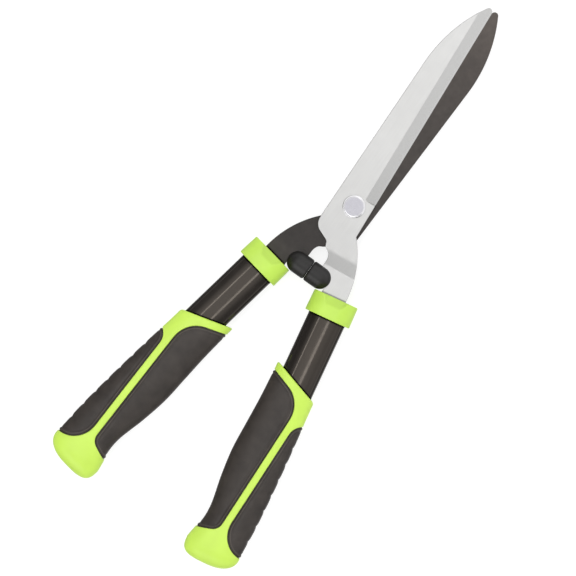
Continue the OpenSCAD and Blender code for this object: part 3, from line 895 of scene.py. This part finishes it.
def nut_shape():
    """A hexagon with chamfered corners, and the round crown that holds the nylon ring."""
    end, corner = NUT_TOP - NUT_H, NUT_AF / 2 / math.cos(math.pi / 6)
    hex_low = end + CROWN_H

    def form(angle, r, z):
        if r > CROWN_R + 0.3:
            off = (angle % (math.pi / 3)) - math.pi / 6
            return np.minimum(r, NUT_AF / 2 / np.cos(off))
        return np.full(len(angle), float(r))

    chamfer = [(CROWN_R + 0.35 + t * (corner - CROWN_R - 0.3), NUT_CHAMFER * t) for t in np.linspace(0, 1, 6)]
    profile = [(SHANK_R + 0.5, NUT_TOP), (CROWN_R + 0.31, NUT_TOP)]
    profile += [(r, NUT_TOP - drop) for r, drop in chamfer]
    profile += [(r, hex_low + drop) for r, drop in chamfer[::-1]]
    profile += [(CROWN_R, hex_low - 0.1), (CROWN_R, end + 0.4)]
    profile += [(CROWN_R - 0.12, end + 0.12), (CROWN_R - 0.45, end)]
    inner = CROWN_R - CROWN_WALL
    profile += [(inner - 0.2, end), (inner - 0.3, end + 0.15), (inner - 0.3, end + CROWN_LIP - 0.05)]
    profile += [(inner, end + CROWN_LIP), (inner, end + CROWN_LIP + INSERT_T + 0.05)]
    profile += [(THREAD_R, end + CROWN_LIP + INSERT_T + 0.1), (THREAD_R, NUT_TOP - 0.4)]
    return turned(profile, form=form, closed=True)


def insert_shape():
    low, high = THREAD_R, CROWN_R - CROWN_WALL - 0.05
    end = NUT_TOP - NUT_H + CROWN_LIP + 0.05
    top = end + INSERT_T - 0.05
    return turned([
        (low, end + 0.25), (low + 0.25, end), (high - 0.15, end), (high, end + 0.15),
        (high, top - 0.1), (high - 0.1, top), (low + 0.1, top), (low, top - 0.1),
    ], closed=True)


# Handles -------------------------------------------------------------------------------------------

def oval(angle):
    """Across and up on a rounded oval of radius 1, the cross-section of tubes, collars and grips."""
    return [np.sign(c) * np.abs(c) ** OVAL for c in (np.cos(angle), np.sin(angle))]


def oval_ring(a, b, v, around):
    """A ring of the rounded oval at one place along the handle."""
    w, z = oval((np.arange(around) + 0.5) * 2 * math.pi / around)
    return np.stack([a * w, np.full(around, float(v)), b * z], 1)


def tube_shape():
    around = 160
    rows = [oval_ring(TUBE_W, TUBE_T, v, around) for v in np.linspace(SOCKET_V, TUBE_END, 24)]
    rows += [oval_ring(TUBE_W - TUBE_WALL, TUBE_T - TUBE_WALL, v, around) for v in (TUBE_END, SOCKET_V)]
    return Shape().add(*grid(rows + [rows[0]], closed=True))


def scoop_depth(w, v):
    """Depth of a ramp down to the front edge of the collar, between two splayed sides."""
    from_back = v - (COLLAR_L - SCOOP_L)
    half = SCOOP_BACK + (SCOOP_FRONT - SCOOP_BACK) * from_back / SCOOP_L
    into = np.clip(np.minimum(from_back, (half - np.abs(w)) * SCOOP_SIDE / SCOOP_SLOPE), 0, None)
    into = np.where(into > SCOOP_SOFT, into - SCOOP_SOFT / 2, into ** 2 / (2 * SCOOP_SOFT))
    return SCOOP_SLOPE * into


def collar_shape():
    """A moulded cap with rounded edges, a scoop in its top, and the socket for the tube."""
    around, r, socket_end = 200, COLLAR_ROUND, SOCKET_V + SOCKET_PLAY
    corner = [(r * (1 - math.cos(a)), r * (1 - math.sin(a))) for a in np.radians(np.linspace(0, 90, 7))]

    def ring(draft, shrink, v):
        return oval_ring(COLLAR_W - draft - shrink, COLLAR_T + COLLAR_FLAT - shrink, v, around)

    bore = [oval_ring(TUBE_W + SOCKET_PLAY + g, TUBE_T + SOCKET_PLAY + g, v, around)
            for g, v in ((0, socket_end), (0, 1.3), (MOUTH * 0.6, 0.4), (MOUTH, 0))]
    outside = [ring(0, sink, v) for v, sink in corner]
    outside += [ring(COLLAR_DRAFT * t, 0, r + t * (COLLAR_L - 2 * r)) for t in np.linspace(0, 1, 22)[1:-1]]
    outside += [ring(COLLAR_DRAFT, sink, COLLAR_L - rest) for sink, rest in corner]
    for row in outside:
        # The flat top and bottom blend into the oval
        w, v, z = row.T
        over = np.abs(z) - COLLAR_T
        blend = np.clip(0.5 + 0.5 * over / FLAT_SOFT, 0, 1)
        cut = (over * blend + FLAT_SOFT * blend * (1 - blend)) * (np.abs(z) > 1)
        row[:, 2] -= np.sign(z) * cut
        row[:, 2] -= np.where(row[:, 2] > 0, scoop_depth(w, v), 0)
    shape = Shape().add(*grid(bore + outside, closed=True))
    shape.add(*fan(bore[0], (0, socket_end, 0), closed=True))
    shape.add(*fan(outside[-1], (0, COLLAR_L, 0), closed=True))
    return shape


def bumper_shape():
    """A rubber cap with a domed end, turned about the lug's own axis."""
    r, rim = BUMPER_R, BUMPER_RIM
    profile = [(r - rim - 3, BUMPER_FACE), *arc((r - rim, BUMPER_FACE + rim), rim, -90, 0, 8)]
    profile += [(r, 4), (r, 7), *arc((0, BUMPER_L - r), r, 0, 88, 20)]
    shape = turned(profile)
    shape.points = np.stack([shape.points[:, 2], BUMPER_Y + shape.points[:, 0], shape.points[:, 1]], 1)
    return shape


# Grips: the skin is a table over f, from -1 on the inner side to 1 on the outer, and v ----------------

SKIN_INSET = 0.15
# Outlines on the skin are drawn in x and v, where x is f times X_HALF, so both are near millimetres
X_HALF = 30.0
# How far apart the mesh points are: outlines, panels, green skin, silhouette, pocket floors, panel backs
ON_PATH, ON_PANEL, ON_GREEN, ON_EDGE, ON_FLOOR, ON_BACK = 0.85, 1.2, 1.15, 1.5, 3, 4
CLEAR = 0.3
BUTT_V = GRIP_SIZES[-1][0]
TABLE_STEP, FINE = 0.5, 1201
TABLE_V = np.arange(-232.0, -40.0, TABLE_STEP)
TABLE_F = np.linspace(-1, 1, 401)


def grip_section(v):
    """Centre, half width inwards and outwards, and half thickness at v."""
    rows = smooth_curve(GRIP_SIZES, 24)[::-1]
    inner, outer, thick = (np.interp(v, rows[:, 0], rows[:, k]) for k in (1, 2, 3))
    centre = BUTT_CENTRE * smooth_step(-v, -BUTT_V - BUTT_SHIFT_L, -BUTT_V)
    h = np.clip((BUTT_V - v) / (BUTT_V - GRIP_END - SKIN_INSET), 0, 1)
    close = [(1 - h ** p) ** (1 / p) for p in BUTT_POWERS]
    return (centre, (inner + centre - SKIN_INSET) * close[0], (outer - centre - SKIN_INSET) * close[1],
            (thick - SKIN_INSET) * close[2])


def section_points(v, angle):
    """Points of the top half of the section, from angle 0 on the outer side to pi on the inner."""
    centre, inner, outer, thick = grip_section(v)
    w, z = oval(angle)
    return centre + w * np.where(w < 0, inner, outer), thick * z


def skin_table():
    """Width, height, angle and half girth for every v and f."""
    angle = np.linspace(math.pi, 0, FINE)
    crest = FINE // 2
    tables = {k: np.zeros((len(TABLE_V), len(TABLE_F))) for k in ("w", "z", "angle")}
    girths = np.zeros((len(TABLE_V), 2))
    for i, v in enumerate(TABLE_V):
        w, z = section_points(v, angle)
        length = np.r_[0, np.cumsum(np.hypot(np.diff(w), np.diff(z)))]
        length -= length[crest]
        girths[i] = -length[0], length[-1]
        at = np.where(TABLE_F < 0, -TABLE_F * length[0], TABLE_F * length[-1])
        for k, values in (("w", w), ("z", z), ("angle", angle)):
            tables[k][i] = np.interp(at, length, values)
    return tables, girths


SKIN, GIRTHS = skin_table()


def lookup(table, f, v):
    """Reads a table at many points at once."""
    i = np.clip((v - TABLE_V[0]) / TABLE_STEP, 0, len(TABLE_V) - 1.001)
    j = np.clip((f + 1) / 2 * (len(TABLE_F) - 1), 0, len(TABLE_F) - 1.001)
    i0, j0 = i.astype(int), j.astype(int)
    a, b = i - i0, j - j0
    return ((table[i0, j0] * (1 - b) + table[i0, j0 + 1] * b) * (1 - a)
            + (table[i0 + 1, j0] * (1 - b) + table[i0 + 1, j0 + 1] * b) * a)


def skin_point(f, v):
    return np.stack([lookup(SKIN["w"], f, v), v, lookup(SKIN["z"], f, v)], 1)


def skin_normal(f, v):
    """The skin's outward normal, level on the silhouette, where the two halves meet."""
    step_f, step_v = 0.006, 0.6
    across = skin_point(np.minimum(f + step_f, 1), v) - skin_point(np.maximum(f - step_f, -1), v)
    along = skin_point(f, v + step_v) - skin_point(f, v - step_v)
    normal = np.cross(across, along)
    normal[:, 2] = np.where(np.abs(f) > 1 - 1e-9, 0, normal[:, 2])
    return normal / np.linalg.norm(normal, axis=1)[:, None]


def raised(x, v, height):
    """Skin points at x and v, moved outwards by the height."""
    f = np.clip(x / X_HALF, -1, 1)
    points = skin_point(f, v) + skin_normal(f, v) * np.asarray(height)[:, None]
    points[:, 2] = np.where(np.abs(f) > 1 - 1e-9, 0, points[:, 2])
    return points


def panel_path(edge, side):
    """A panel's outline on the top half of the skin, from its upper end on the silhouette to its lower
    end, as rows of x and v."""
    plan = resample(rounded_path(edge), 0.01)
    rows = np.clip(np.round((plan[:, 1] - TABLE_V[0]) / TABLE_STEP), 0, len(TABLE_V) - 1).astype(int)
    f_of_w = np.array([np.interp(w, SKIN["w"][i], TABLE_F) for w, i in zip(plan[:, 0], rows)])
    on_skin = np.abs(f_of_w) < 1
    path = np.stack([f_of_w * X_HALF, plan[:, 1]], 1)[on_skin]
    ends = np.array([[side * X_HALF, path[0, 1]], [side * X_HALF, path[-1, 1]]])
    return resample(np.vstack([ends[:1], path, ends[1:]]), ON_PATH)


def offset_path(path, side, distance):
    """The outline moved into the green by that distance, on the skin."""
    mirror = path[[1, -2]] * (-1, 1) + (2 * side * X_HALF, 0)
    full = np.vstack([mirror[:1], path, mirror[1:]])
    for _ in range(3):
        full[1:-1] = (full[:-2] + 2 * full[1:-1] + full[2:]) / 4
    full[1, 0] = full[-2, 0] = side * X_HALF
    tangent = full[2:] - full[:-2]
    girth = np.interp(full[1:-1, 1], TABLE_V, GIRTHS[:, 0 if side < 0 else 1])
    scale = X_HALF / girth
    tangent[:, 0] /= scale
    tangent /= np.linalg.norm(tangent, axis=1)[:, None]
    tangent[[0, -1]] = (-side, 0), (side, 0)
    normal = np.stack([tangent[:, 1], -tangent[:, 0]], 1) * side
    moved = full[1:-1] + distance * normal * np.stack([scale, np.ones(len(scale))], 1)
    moved[1:-1, 0] = np.clip(moved[1:-1, 0], -X_HALF + 0.05, X_HALF - 0.05)
    return moved


PATHS = {-1: panel_path(INNER_EDGE, -1), 1: panel_path(OUTER_EDGE, 1)}
# Distance into the green and height, from the bottom of the groove outwards, and the pocket's wall
CORE_LIP = [(0.50, -0.62), (0.56, -0.36), (0.70, -0.15), (0.92, -0.03), (1.3, 0.0), (2.1, 0.0)]
CORE_WALL = (0.42, -PANEL_T)
# Distance into the panel and height: the flange in the groove, whose black rubber also darkens the groove as
# painted shade, the rolled bead, and the hollow behind it, up to the plain face
PANEL_LIP = [(-0.36, -0.95), (0.30, -0.92), (0.46, -0.75), (0.54, -0.48), (0.72, -0.25), (1.0, -0.05),
             (1.35, 0.15), (1.75, 0.23), (2.15, 0.13), (2.6, -0.1), (3.1, -0.33), (3.7, -0.36), (4.5, -0.16),
             (5.4, 0.0)]
# Height of the panel's back over the pocket's floor
PANEL_BACK = -(PANEL_T - 0.08)
# Distances between which the crest of the bead is painted brighter, a painted highlight
BEAD_HIGHLIGHT = (1.45, 2.25)


def rib_height(x, v):
    """Scallops across the outer panel: round bumps with crisp notches, fading out over the top."""
    place = (v - RIB_V) / RIB_PITCH
    between = (place > -RIB_COUNT + 0.5) & (place < 0.999)
    t = np.abs(2 * (place % 1) - 1)
    round_bump = np.where(place > 0, smooth_step(1 - place, 0, 1), 1)
    z = lookup(SKIN["z"], np.clip(x / X_HALF, -1, 1), v) / grip_section(v)[3]
    fade = 1 - smooth_step(z, *RIB_FADE)
    return np.where(between, -RIB_DEPTH * t ** 4 * fade * round_bump, 0)


def fill_points(polygon, rings, spacing, rows=None):
    """Rows of points inside the polygon, clear of the rings."""
    low, high = polygon.min(0), polygon.max(0)
    if rows is None:
        rows = np.arange(low[1] + spacing / 2, high[1], spacing)
    columns = np.arange(-X_HALF, X_HALF + 0.1, X_HALF / round(X_HALF / spacing))[1:-1]
    points = np.array([(x, v) for v in rows for x in columns if low[1] < v < high[1]])
    points = points[inside(points, polygon)]
    return points[distance_to(points, np.vstack(rings)) >= spacing / 2]


def skin_patch(boundary, rings, fill, heights):
    """A piece of skin: triangles inside the boundary through rings of given heights and fill points.
    heights is one array for all the points in order."""
    points, runs, start = np.vstack([boundary] + rings + [fill]), [], len(boundary)
    for ring in rings:
        runs.append(list(range(start, start + len(ring))))
        start += len(ring)
    flat, faces, sources = triangles(points, range(len(boundary)), runs)
    height = np.array([heights[s[0]] if s else 0.0 for s in sources])
    return raised(flat[:, 0], flat[:, 1], height), faces


def silhouette(side, start, end, spacing, rows=None):
    """Points down the silhouette between two heights, without its ends."""
    if rows is None:
        count = max(1, int(abs(start - end) / spacing))
        rows = np.linspace(start, end, count + 1)[1:-1]
    rows = sorted([v for v in rows if min(start, end) + CLEAR < v < max(start, end) - CLEAR])
    rows = rows[::-1] if start > end else rows
    return np.array([(side * X_HALF, v) for v in rows]).reshape(-1, 2)


def rib_rows():
    """Rows of v for the outer panel, closest at the notches."""
    rows = [RIB_V + RIB_PITCH * i / 12 for i in range(-90, 14)]
    rows += [RIB_V - RIB_PITCH * i + d for i in range(RIB_COUNT) for d in (-0.45, 0.45)]
    return sorted(rows)


def panel_shape(side):
    """A closed soft moulding: a face with its rolled bead and ribs, side walls and a plain back."""
    path = PATHS[side]
    rings = [offset_path(path, side, -d) for d, _ in PANEL_LIP]
    rows = rib_rows() if side > 0 else None
    rim = rings[0]
    edge = silhouette(side, rim[-1, 1], rim[0, 1], ON_PANEL, rows)
    edge = np.array([p for p in edge if all(abs(p[1] - r[k, 1]) > CLEAR for r in rings for k in (0, -1))])
    inner = rings[1:]
    ends = [(*r[k], h) for r, (_, h) in zip(inner, PANEL_LIP[1:]) for k in (0, -1)]
    ends = np.array(sorted(ends + [(*p, 0) for p in edge], key=lambda p: p[1]))
    boundary = np.vstack([rim, ends[:, :2]])
    fill = fill_points(boundary, [rim] + inner, ON_PANEL, rows)
    fill = fill[inside(fill, inner[-1])]
    levels = [np.full(len(rim), PANEL_LIP[0][1]), ends[:, 2]]
    levels += [np.full(len(r), h) for r, (_, h) in zip(inner, PANEL_LIP[1:])]
    levels.append(np.zeros(len(fill)))
    levels = np.concatenate(levels)
    every = np.vstack([boundary] + inner + [fill])
    if side > 0:
        clear = smooth_step(distance_to(every, path), *RIB_CLEAR)
        levels = levels + rib_height(every[:, 0], every[:, 1]) * clear
    points, faces = skin_patch(boundary, inner, fill, levels)
    outline = skin_point(np.clip(path[:, 0] / X_HALF, -1, 1), path[:, 1])
    distance = distance_to(points[faces].mean(1), outline)
    # Faces on the bead's crest take the painted highlight
    shape = Shape().add(points, faces, ((distance > BEAD_HIGHLIGHT[0]) & (distance < BEAD_HIGHLIGHT[1])).astype(int))
    boundary = np.vstack([rim, silhouette(side, rim[-1, 1], rim[0, 1], ON_BACK)])
    fill = fill_points(boundary, [boundary], ON_BACK)
    points, faces = skin_patch(boundary, [], fill, np.full(len(boundary) + len(fill), PANEL_BACK))
    shape.add(points, faces[:, ::-1])
    shape.add(*grid([raised(*rim.T, np.full(len(rim), h)) for h in (PANEL_LIP[0][1], PANEL_BACK)]))
    return shape.mirrored(2)


# The sleeve's rounded rim and bore; its skin has that many columns and ends at CAP_V, where the butt's
# cap of even rows begins
RIM_ROUND, BORE_PLAY, BORE_END, MOUTH_ROUND = 1.9, 0.07, TUBE_END - 0.1, 0.55
COLUMNS, CAP_V, CAP_ROWS = 72, -224.5, 22


def bore_ring(grow):
    """Half of the tube's oval, matched to the columns of the skin by its girth."""
    w, z = oval(np.linspace(0, math.pi, FINE))
    w, z = (TUBE_W + grow) * w, (TUBE_T + grow) * z
    length = np.r_[0, np.cumsum(np.hypot(np.diff(w), np.diff(z)))]
    at = np.linspace(0, length[-1], COLUMNS + 1)
    w, z = np.interp(at, length, w), np.interp(at, length, z)
    z[[0, -1]] = 0
    return w, z


def core_shape():
    """The hard sleeve: sloping rim, skin with two sunk pockets, rounded butt and the bore for the tube."""
    f = np.linspace(1, -1, COLUMNS + 1)
    lean = math.tan(RIM_LEAN)

    def rim_v(w):
        return RIM_V - w * lean

    def rim_row(angle):
        """One row of the rounded rim: 0 on the skin, 90 on the sloping face."""
        drop, sink = RIM_ROUND * (1 - math.sin(angle)), RIM_ROUND * (1 - math.cos(angle))
        v = rim_v(TUBE_W * f)
        for _ in range(30):
            points = raised(f * X_HALF, v, np.full(len(f), -sink))
            v = v + (rim_v(points[:, 0]) - drop - points[:, 1])
        return raised(f * X_HALF, v, np.full(len(f), -sink)), v

    rim_rows, first_v = [], None
    for angle in np.radians(np.linspace(0, 90, 8)):
        row, v = rim_row(angle)
        first_v = v if first_v is None else first_v
        rim_rows.append(row)
    bores = []
    for grow, sink in ((MOUTH_ROUND, 0), (MOUTH_ROUND * 0.4, 0.15), (0, MOUTH_ROUND), (0, 30), (0, None)):
        w, z = bore_ring(BORE_PLAY + grow)
        v = np.full(len(w), BORE_END) if sink is None else rim_v(w) - sink
        bores.append(np.stack([w, v, z], 1))
    shape = Shape().add(*grid(rim_rows + bores))
    shape.add(*fan(bores[-1], (0, BORE_END, 0)))

    top = np.stack([f * X_HALF, first_v], 1)
    bottom = np.stack([f[::-1] * X_HALF, np.full(COLUMNS + 1, CAP_V)], 1)
    lips, walls = {}, {}
    for side, path in PATHS.items():
        lips[side] = [offset_path(path, side, d) for d, _ in CORE_LIP]
        walls[side] = offset_path(path, side, CORE_WALL[0])

    def side_points(side):
        """Points down one silhouette with their heights, from the rim to the butt."""
        ends = [(r[k, 1], h) for r, (_, h) in zip(lips[side], CORE_LIP) for k in (0, -1)]
        ends += [(walls[side][k, 1], CORE_WALL[1]) for k in (0, -1)]
        start = first_v[0] if side > 0 else first_v[-1]
        high, low = walls[side][0, 1], walls[side][-1, 1]
        for v in silhouette(side, start, CAP_V, ON_EDGE)[:, 1]:
            if min(abs(v - e[0]) for e in ends) > 0.5:
                ends.append((v, CORE_WALL[1] if low < v < high else 0.0))
        return sorted(ends, reverse=True)

    left, right = np.array(side_points(-1)), np.array(side_points(1)[::-1])
    boundary = np.vstack([top, np.c_[np.full(len(left), -X_HALF), left[:, 0]], bottom,
                          np.c_[np.full(len(right), X_HALF), right[:, 0]]])
    levels = [np.zeros(len(top)), left[:, 1], np.zeros(len(bottom)), right[:, 1]]
    rings, fills, fill_levels = [], [], []
    for side in (-1, 1):
        rings += lips[side] + [walls[side]]
        levels += [np.full(len(r), h) for r, (_, h) in zip(lips[side], CORE_LIP)]
        levels.append(np.full(len(walls[side]), CORE_WALL[1]))
        edge = [(side * X_HALF, v) for v in np.arange(-230, -40, ON_EDGE)]
        fills.append(fill_points(walls[side], [walls[side], edge], ON_FLOOR))
        fill_levels.append(np.full(len(fills[-1]), CORE_WALL[1]))
    green = fill_points(boundary, [boundary] + rings, ON_GREEN)
    for side in (-1, 1):
        loop, beyond = lips[side][-1], side * X_HALF * 1.2
        loop = np.vstack([loop, [(beyond, loop[-1, 1]), (beyond, loop[0, 1])]])
        green = green[~inside(green, loop)]
    fills.append(green)
    fill_levels.append(np.zeros(len(green)))
    heights = np.concatenate(levels + fill_levels)
    shape.add(*skin_patch(boundary, rings, np.vstack(fills), heights))

    angle = np.interp(f, TABLE_F, lookup(SKIN["angle"], TABLE_F, np.full(len(TABLE_F), CAP_V)))
    butt_l = BUTT_V - GRIP_END - SKIN_INSET
    caps = []
    for turn in np.linspace(math.asin((BUTT_V - CAP_V) / butt_l), math.pi / 2, CAP_ROWS)[:-1]:
        v = BUTT_V - math.sin(turn) * butt_l
        w, z = section_points(v, angle)
        z[[0, -1]] = 0
        caps.append(np.stack([w, np.full(len(w), v), z], 1))
    caps[0] = raised(f * X_HALF, np.full(len(f), CAP_V), np.zeros(len(f)))
    shape.add(*grid(caps))
    shape.add(*fan(caps[-1], (BUTT_CENTRE, GRIP_END + SKIN_INSET, 0)))
    return shape.mirrored(2)


# Pieces --------------------------------------------------------------------------------------------

square = BORE_R * np.array([(1, -1), (1, 1), (-1, 1), (-1, -1)])
bore = arc((0, 0), BORE_R, 0, 360, 72)[:-1]
blade_looks = [steel_face, steel_bevel, steel_hone_highlight, steel_cut]
coated_looks = [coating, coating, steel_hone_highlight, coating]
add_piece("upper_blade", blade_shape(square), at_pivot, 1, "right_half", blade_looks, 8, 30)
add_piece("lower_blade", turned_over(blade_shape(bore)), at_pivot, 1, "left_half",
          coated_looks, 8, 30)

spring = washer_shape(SPRING_W, STACK_TOP, SPRING_T, 0.1, SPRING_CONE)
for node, shape, slot_name, looks in (
    ("pivot_bolt", bolt_shape(), "bolt_steel", [bolt_steel, bolt_rim_highlight]),
    ("spring_washer", spring, "zinc_steel", [zinc_steel]),
    ("flat_washer", washer_shape(WASHER_W, WASHER_TOP, WASHER_T, 0.18), "zinc_steel", [zinc_steel]),
    ("lock_nut", nut_shape(), "zinc_steel", [zinc_steel]),
    ("nut_insert", insert_shape(), "nylon", [nylon]),
):
    add_piece(node, shape, at_pivot, 1, "right_half", looks, 30)

tang = prism(grown(blade_outline(), TANG_PLAY), -BLADE_T / 2 - TANG_PLAY, BLADE_T / 2 + TANG_PLAY)
rivet_hole = prism(arc(on_handle(RIVET_W, RIVET_V), RIVET_HOLE_R, 0, 360, 40)[:-1], -THROUGH, THROUGH)
for name, side, body in (RIGHT, LEFT):
    for node, shape, place, slot_name, look, cut in (
        ("tube", tube_shape(), at_handle, "tube_paint", tube_paint, rivet_hole),
        ("collar", collar_shape(), at_handle, "green_plastic", green_plastic, tang),
        ("bumper", bumper_shape(), at_pivot, "bumper_rubber", bumper_rubber, tang),
    ):
        add_piece(f"{name}_{node}", shape, place, side, body, [look], 40, cuts=[cut])
    add_piece(f"{name}_grip_core", core_shape(), at_handle, side, body, [grip_green], 50)
    for panel, where in (("inner", -1), ("outer", 1)):
        add_piece(f"{name}_{panel}_panel", panel_shape(where), at_handle, side, body,
                  [soft_panel, bead_highlight], 50)

# The hidden plugs and rivets keep their CAD shape
for node, look in (("tang_plug", plug_plastic), ("tang_rivet", rivet_steel)):
    for name in ("right", "left"):
        data = frame["nodes"][f"{name}_{node}"].data
        data.materials.clear()
        data.materials.append(look)


# Stage: pale floor, soft light from above, and the camera straight over the shears -------------------

def staged_mesh(name, points, faces, look):
    mesh = bpy.data.meshes.new(name)
    mesh.from_pydata(points, [], faces)
    mesh.materials.append(look.material)
    thing = placed(name, mesh)
    return thing


def glowing(name, color, glow, glow_strength):
    look = Look(name, color, 1.0, specular=0.0)
    look.set("Emission Color", (*glow, 1))
    look.set("Emission Strength", glow_strength)
    return look


WHITE, BLACK = (1, 1, 1), (0, 0, 0)
FLOOR_HALF, FLOOR_TONE, FLOOR_GLOW = 8.0, 0.30, 0.80
WALL_R, WALL_LOW, WALL_HIGH, WALL_GLOW = 7.9, -0.5, 7.0, 0.97


def floor():
    """Pale paper, with a little light of its own so that the shadows stay faint."""
    points = [(x * FLOOR_HALF, y * FLOOR_HALF, 0) for x, y in ((-1, -1), (1, -1), (1, 1), (-1, 1))]
    paper = staged_mesh("floor", points, [(0, 1, 2, 3)],
                        glowing("floor_paper", shade(WHITE, FLOOR_TONE), WHITE, FLOOR_GLOW))
    paper.visible_glossy = False


def backdrop():
    """A pale wall all round, for the views from a low angle. It gives no light."""
    around = 48
    turns = [i * 2 * math.pi / around for i in range(around)]
    points = [(WALL_R * math.cos(a), WALL_R * math.sin(a), z) for z in (WALL_LOW, WALL_HIGH) for a in turns]
    faces = [(i, (i + 1) % around, around + (i + 1) % around, around + i) for i in range(around)]
    wall = staged_mesh("backdrop", points, faces, glowing("backdrop_paper", BLACK, WHITE, WALL_GLOW))
    wall.visible_diffuse = wall.visible_glossy = wall.visible_shadow = wall.visible_transmission = False


# Sky brightness by the angle from overhead, in degrees; past 90 only shiny pieces see it
SKY = [
    (0, 1.30), (20, 1.18), (32, 0.92), (48, 0.70), (66, 0.50), (84, 0.34), (100, 0.20), (125, 0.35),
    (150, 0.9), (180, 1.0),
]
SKY_TOP = 2.0
# Zones of the sky: how much light each adds or takes, and the angles from overhead at which it starts,
# is full, is gone and begins to fade. BAND, DARK_SIDE, SIDE and WINDOW_WIDTH are angles towards X, the
# others towards Y.
BAND_LIGHT, BAND = 0.40, (-24, -12, 14, 4)
DARK_SIDE_DIP, DARK_SIDE = 0.65, (-24, -46)
SIDE_LIGHT, SIDE = 0.35, (34, 50, 100, 84)
FRONT_DIP, FRONT = 0.80, (-2, -11, -36, -22)
WINDOW_LIGHT, WINDOW, WINDOW_WIDTH = 1.5, (-32, -42, -80, -66), (50, 25)
BACK_LIGHT, BACK = 0.7, (46, 58, 100, 86)


def sky():
    """Soft light that falls off from overhead, which shiny pieces mirror."""
    world = bpy.data.worlds.new("studio")
    bpy.context.scene.world = world
    world.use_nodes = True
    tree = world.node_tree

    def step(angle, low, high):
        """0 below the low angle, 1 above the high one, smooth between. Reversed if low is above high."""
        node = tree.nodes.new("ShaderNodeMapRange")
        node.interpolation_type = "SMOOTHSTEP"
        ends = (low, high, 0, 1) if low < high else (high, low, 1, 0)
        for name, value in zip(("From Min", "From Max", "To Min", "To Max"), ends):
            node.inputs[name].default_value = value
        tree.links.new(angle.socket, node.inputs["Value"])
        return Value(tree, node.outputs["Result"])

    def zone(angle, start, full, gone, fading):
        """1 within a zone of the sky, and 0 outside it."""
        return step(angle, start, full) * step(angle, gone, fading)

    split = tree.nodes.new("ShaderNodeSeparateXYZ")
    tree.links.new(tree.nodes.new("ShaderNodeTexCoord").outputs["Generated"], split.inputs[0])
    x, y, z = (Value(tree, socket) for socket in split.outputs)
    to_x, to_y = (c.math("ARCTAN2", z).math("DEGREES") for c in (x, y))
    from_top = z.math("ARCCOSINE").math("DEGREES") / 180
    light = color_ramp(from_top, [(angle / 180, (level / SKY_TOP,) * 3) for angle, level in SKY]) * SKY_TOP
    light = light + zone(to_x, *BAND) * BAND_LIGHT
    light = light * (1 - step(to_x, *DARK_SIDE) * DARK_SIDE_DIP)
    light = light + zone(to_x, *SIDE) * SIDE_LIGHT
    light = light * (1 - zone(to_y, *FRONT) * FRONT_DIP)
    light = light + zone(to_y, *WINDOW) * step(abs(to_x), *WINDOW_WIDTH) * WINDOW_LIGHT
    light = light + zone(to_y, *BACK) * BACK_LIGHT
    tree.links.new(light.socket, tree.nodes["Background"].inputs["Strength"])
    tree.nodes["Background"].inputs["Color"].default_value = (*WHITE, 1)


# Each strip's X, height, width and glow
STRIPS = {"strip_left": (-0.222, 0.78, 0.035, 5.0), "strip_right": (0.165, 1.5, 0.13, 3.2)}
STRIP_Y, STRIP_LENGTH = -0.2, 0.4
SUN_POWER, SUN_SPREAD, SUN_LEAN = 0.95, math.radians(75), math.radians(-38)


def strip(name, x, height, width, glow):
    """A lamp along Y over the handles, which the tubes mirror as a bright line."""
    data = bpy.data.lights.new(name, "AREA")
    data.shape, data.size, data.size_y = "RECTANGLE", width, STRIP_LENGTH
    data.energy = glow * math.pi * width * STRIP_LENGTH
    lamp = placed(name, data, (x, STRIP_Y, height), (0, math.atan2(x, height), 0))
    lamp.visible_camera = False


def fill_sun():
    """Even light for the floor and the matt pieces, which shiny pieces don't mirror."""
    data = bpy.data.lights.new("fill", "SUN")
    data.energy, data.angle = SUN_POWER, SUN_SPREAD
    lamp = placed("fill", data, turn=(0, SUN_LEAN, 0))
    lamp.visible_glossy = False


VIEW_CENTRE = (-5.67, -30.34)
VIEW_SPAN, VIEW_TURN, LENS, SENSOR, FAR = 494.3, 35.5, 200.0, 36.0, 50


def camera():
    data = bpy.data.cameras.new("camera")
    data.lens, data.sensor_width = LENS, SENSOR
    data.clip_end = FAR
    place = (*VIEW_CENTRE, MID_Z + VIEW_SPAN * LENS / SENSOR)
    turn = (0, 0, math.radians(VIEW_TURN))
    bpy.context.scene.camera = placed("camera", data, [c * MM for c in place], turn)


floor()
backdrop()
sky()
for strip_name, sizes in STRIPS.items():
    strip(strip_name, *sizes)
fill_sun()
camera()
bpy.context.scene.view_settings.view_transform = "Standard"
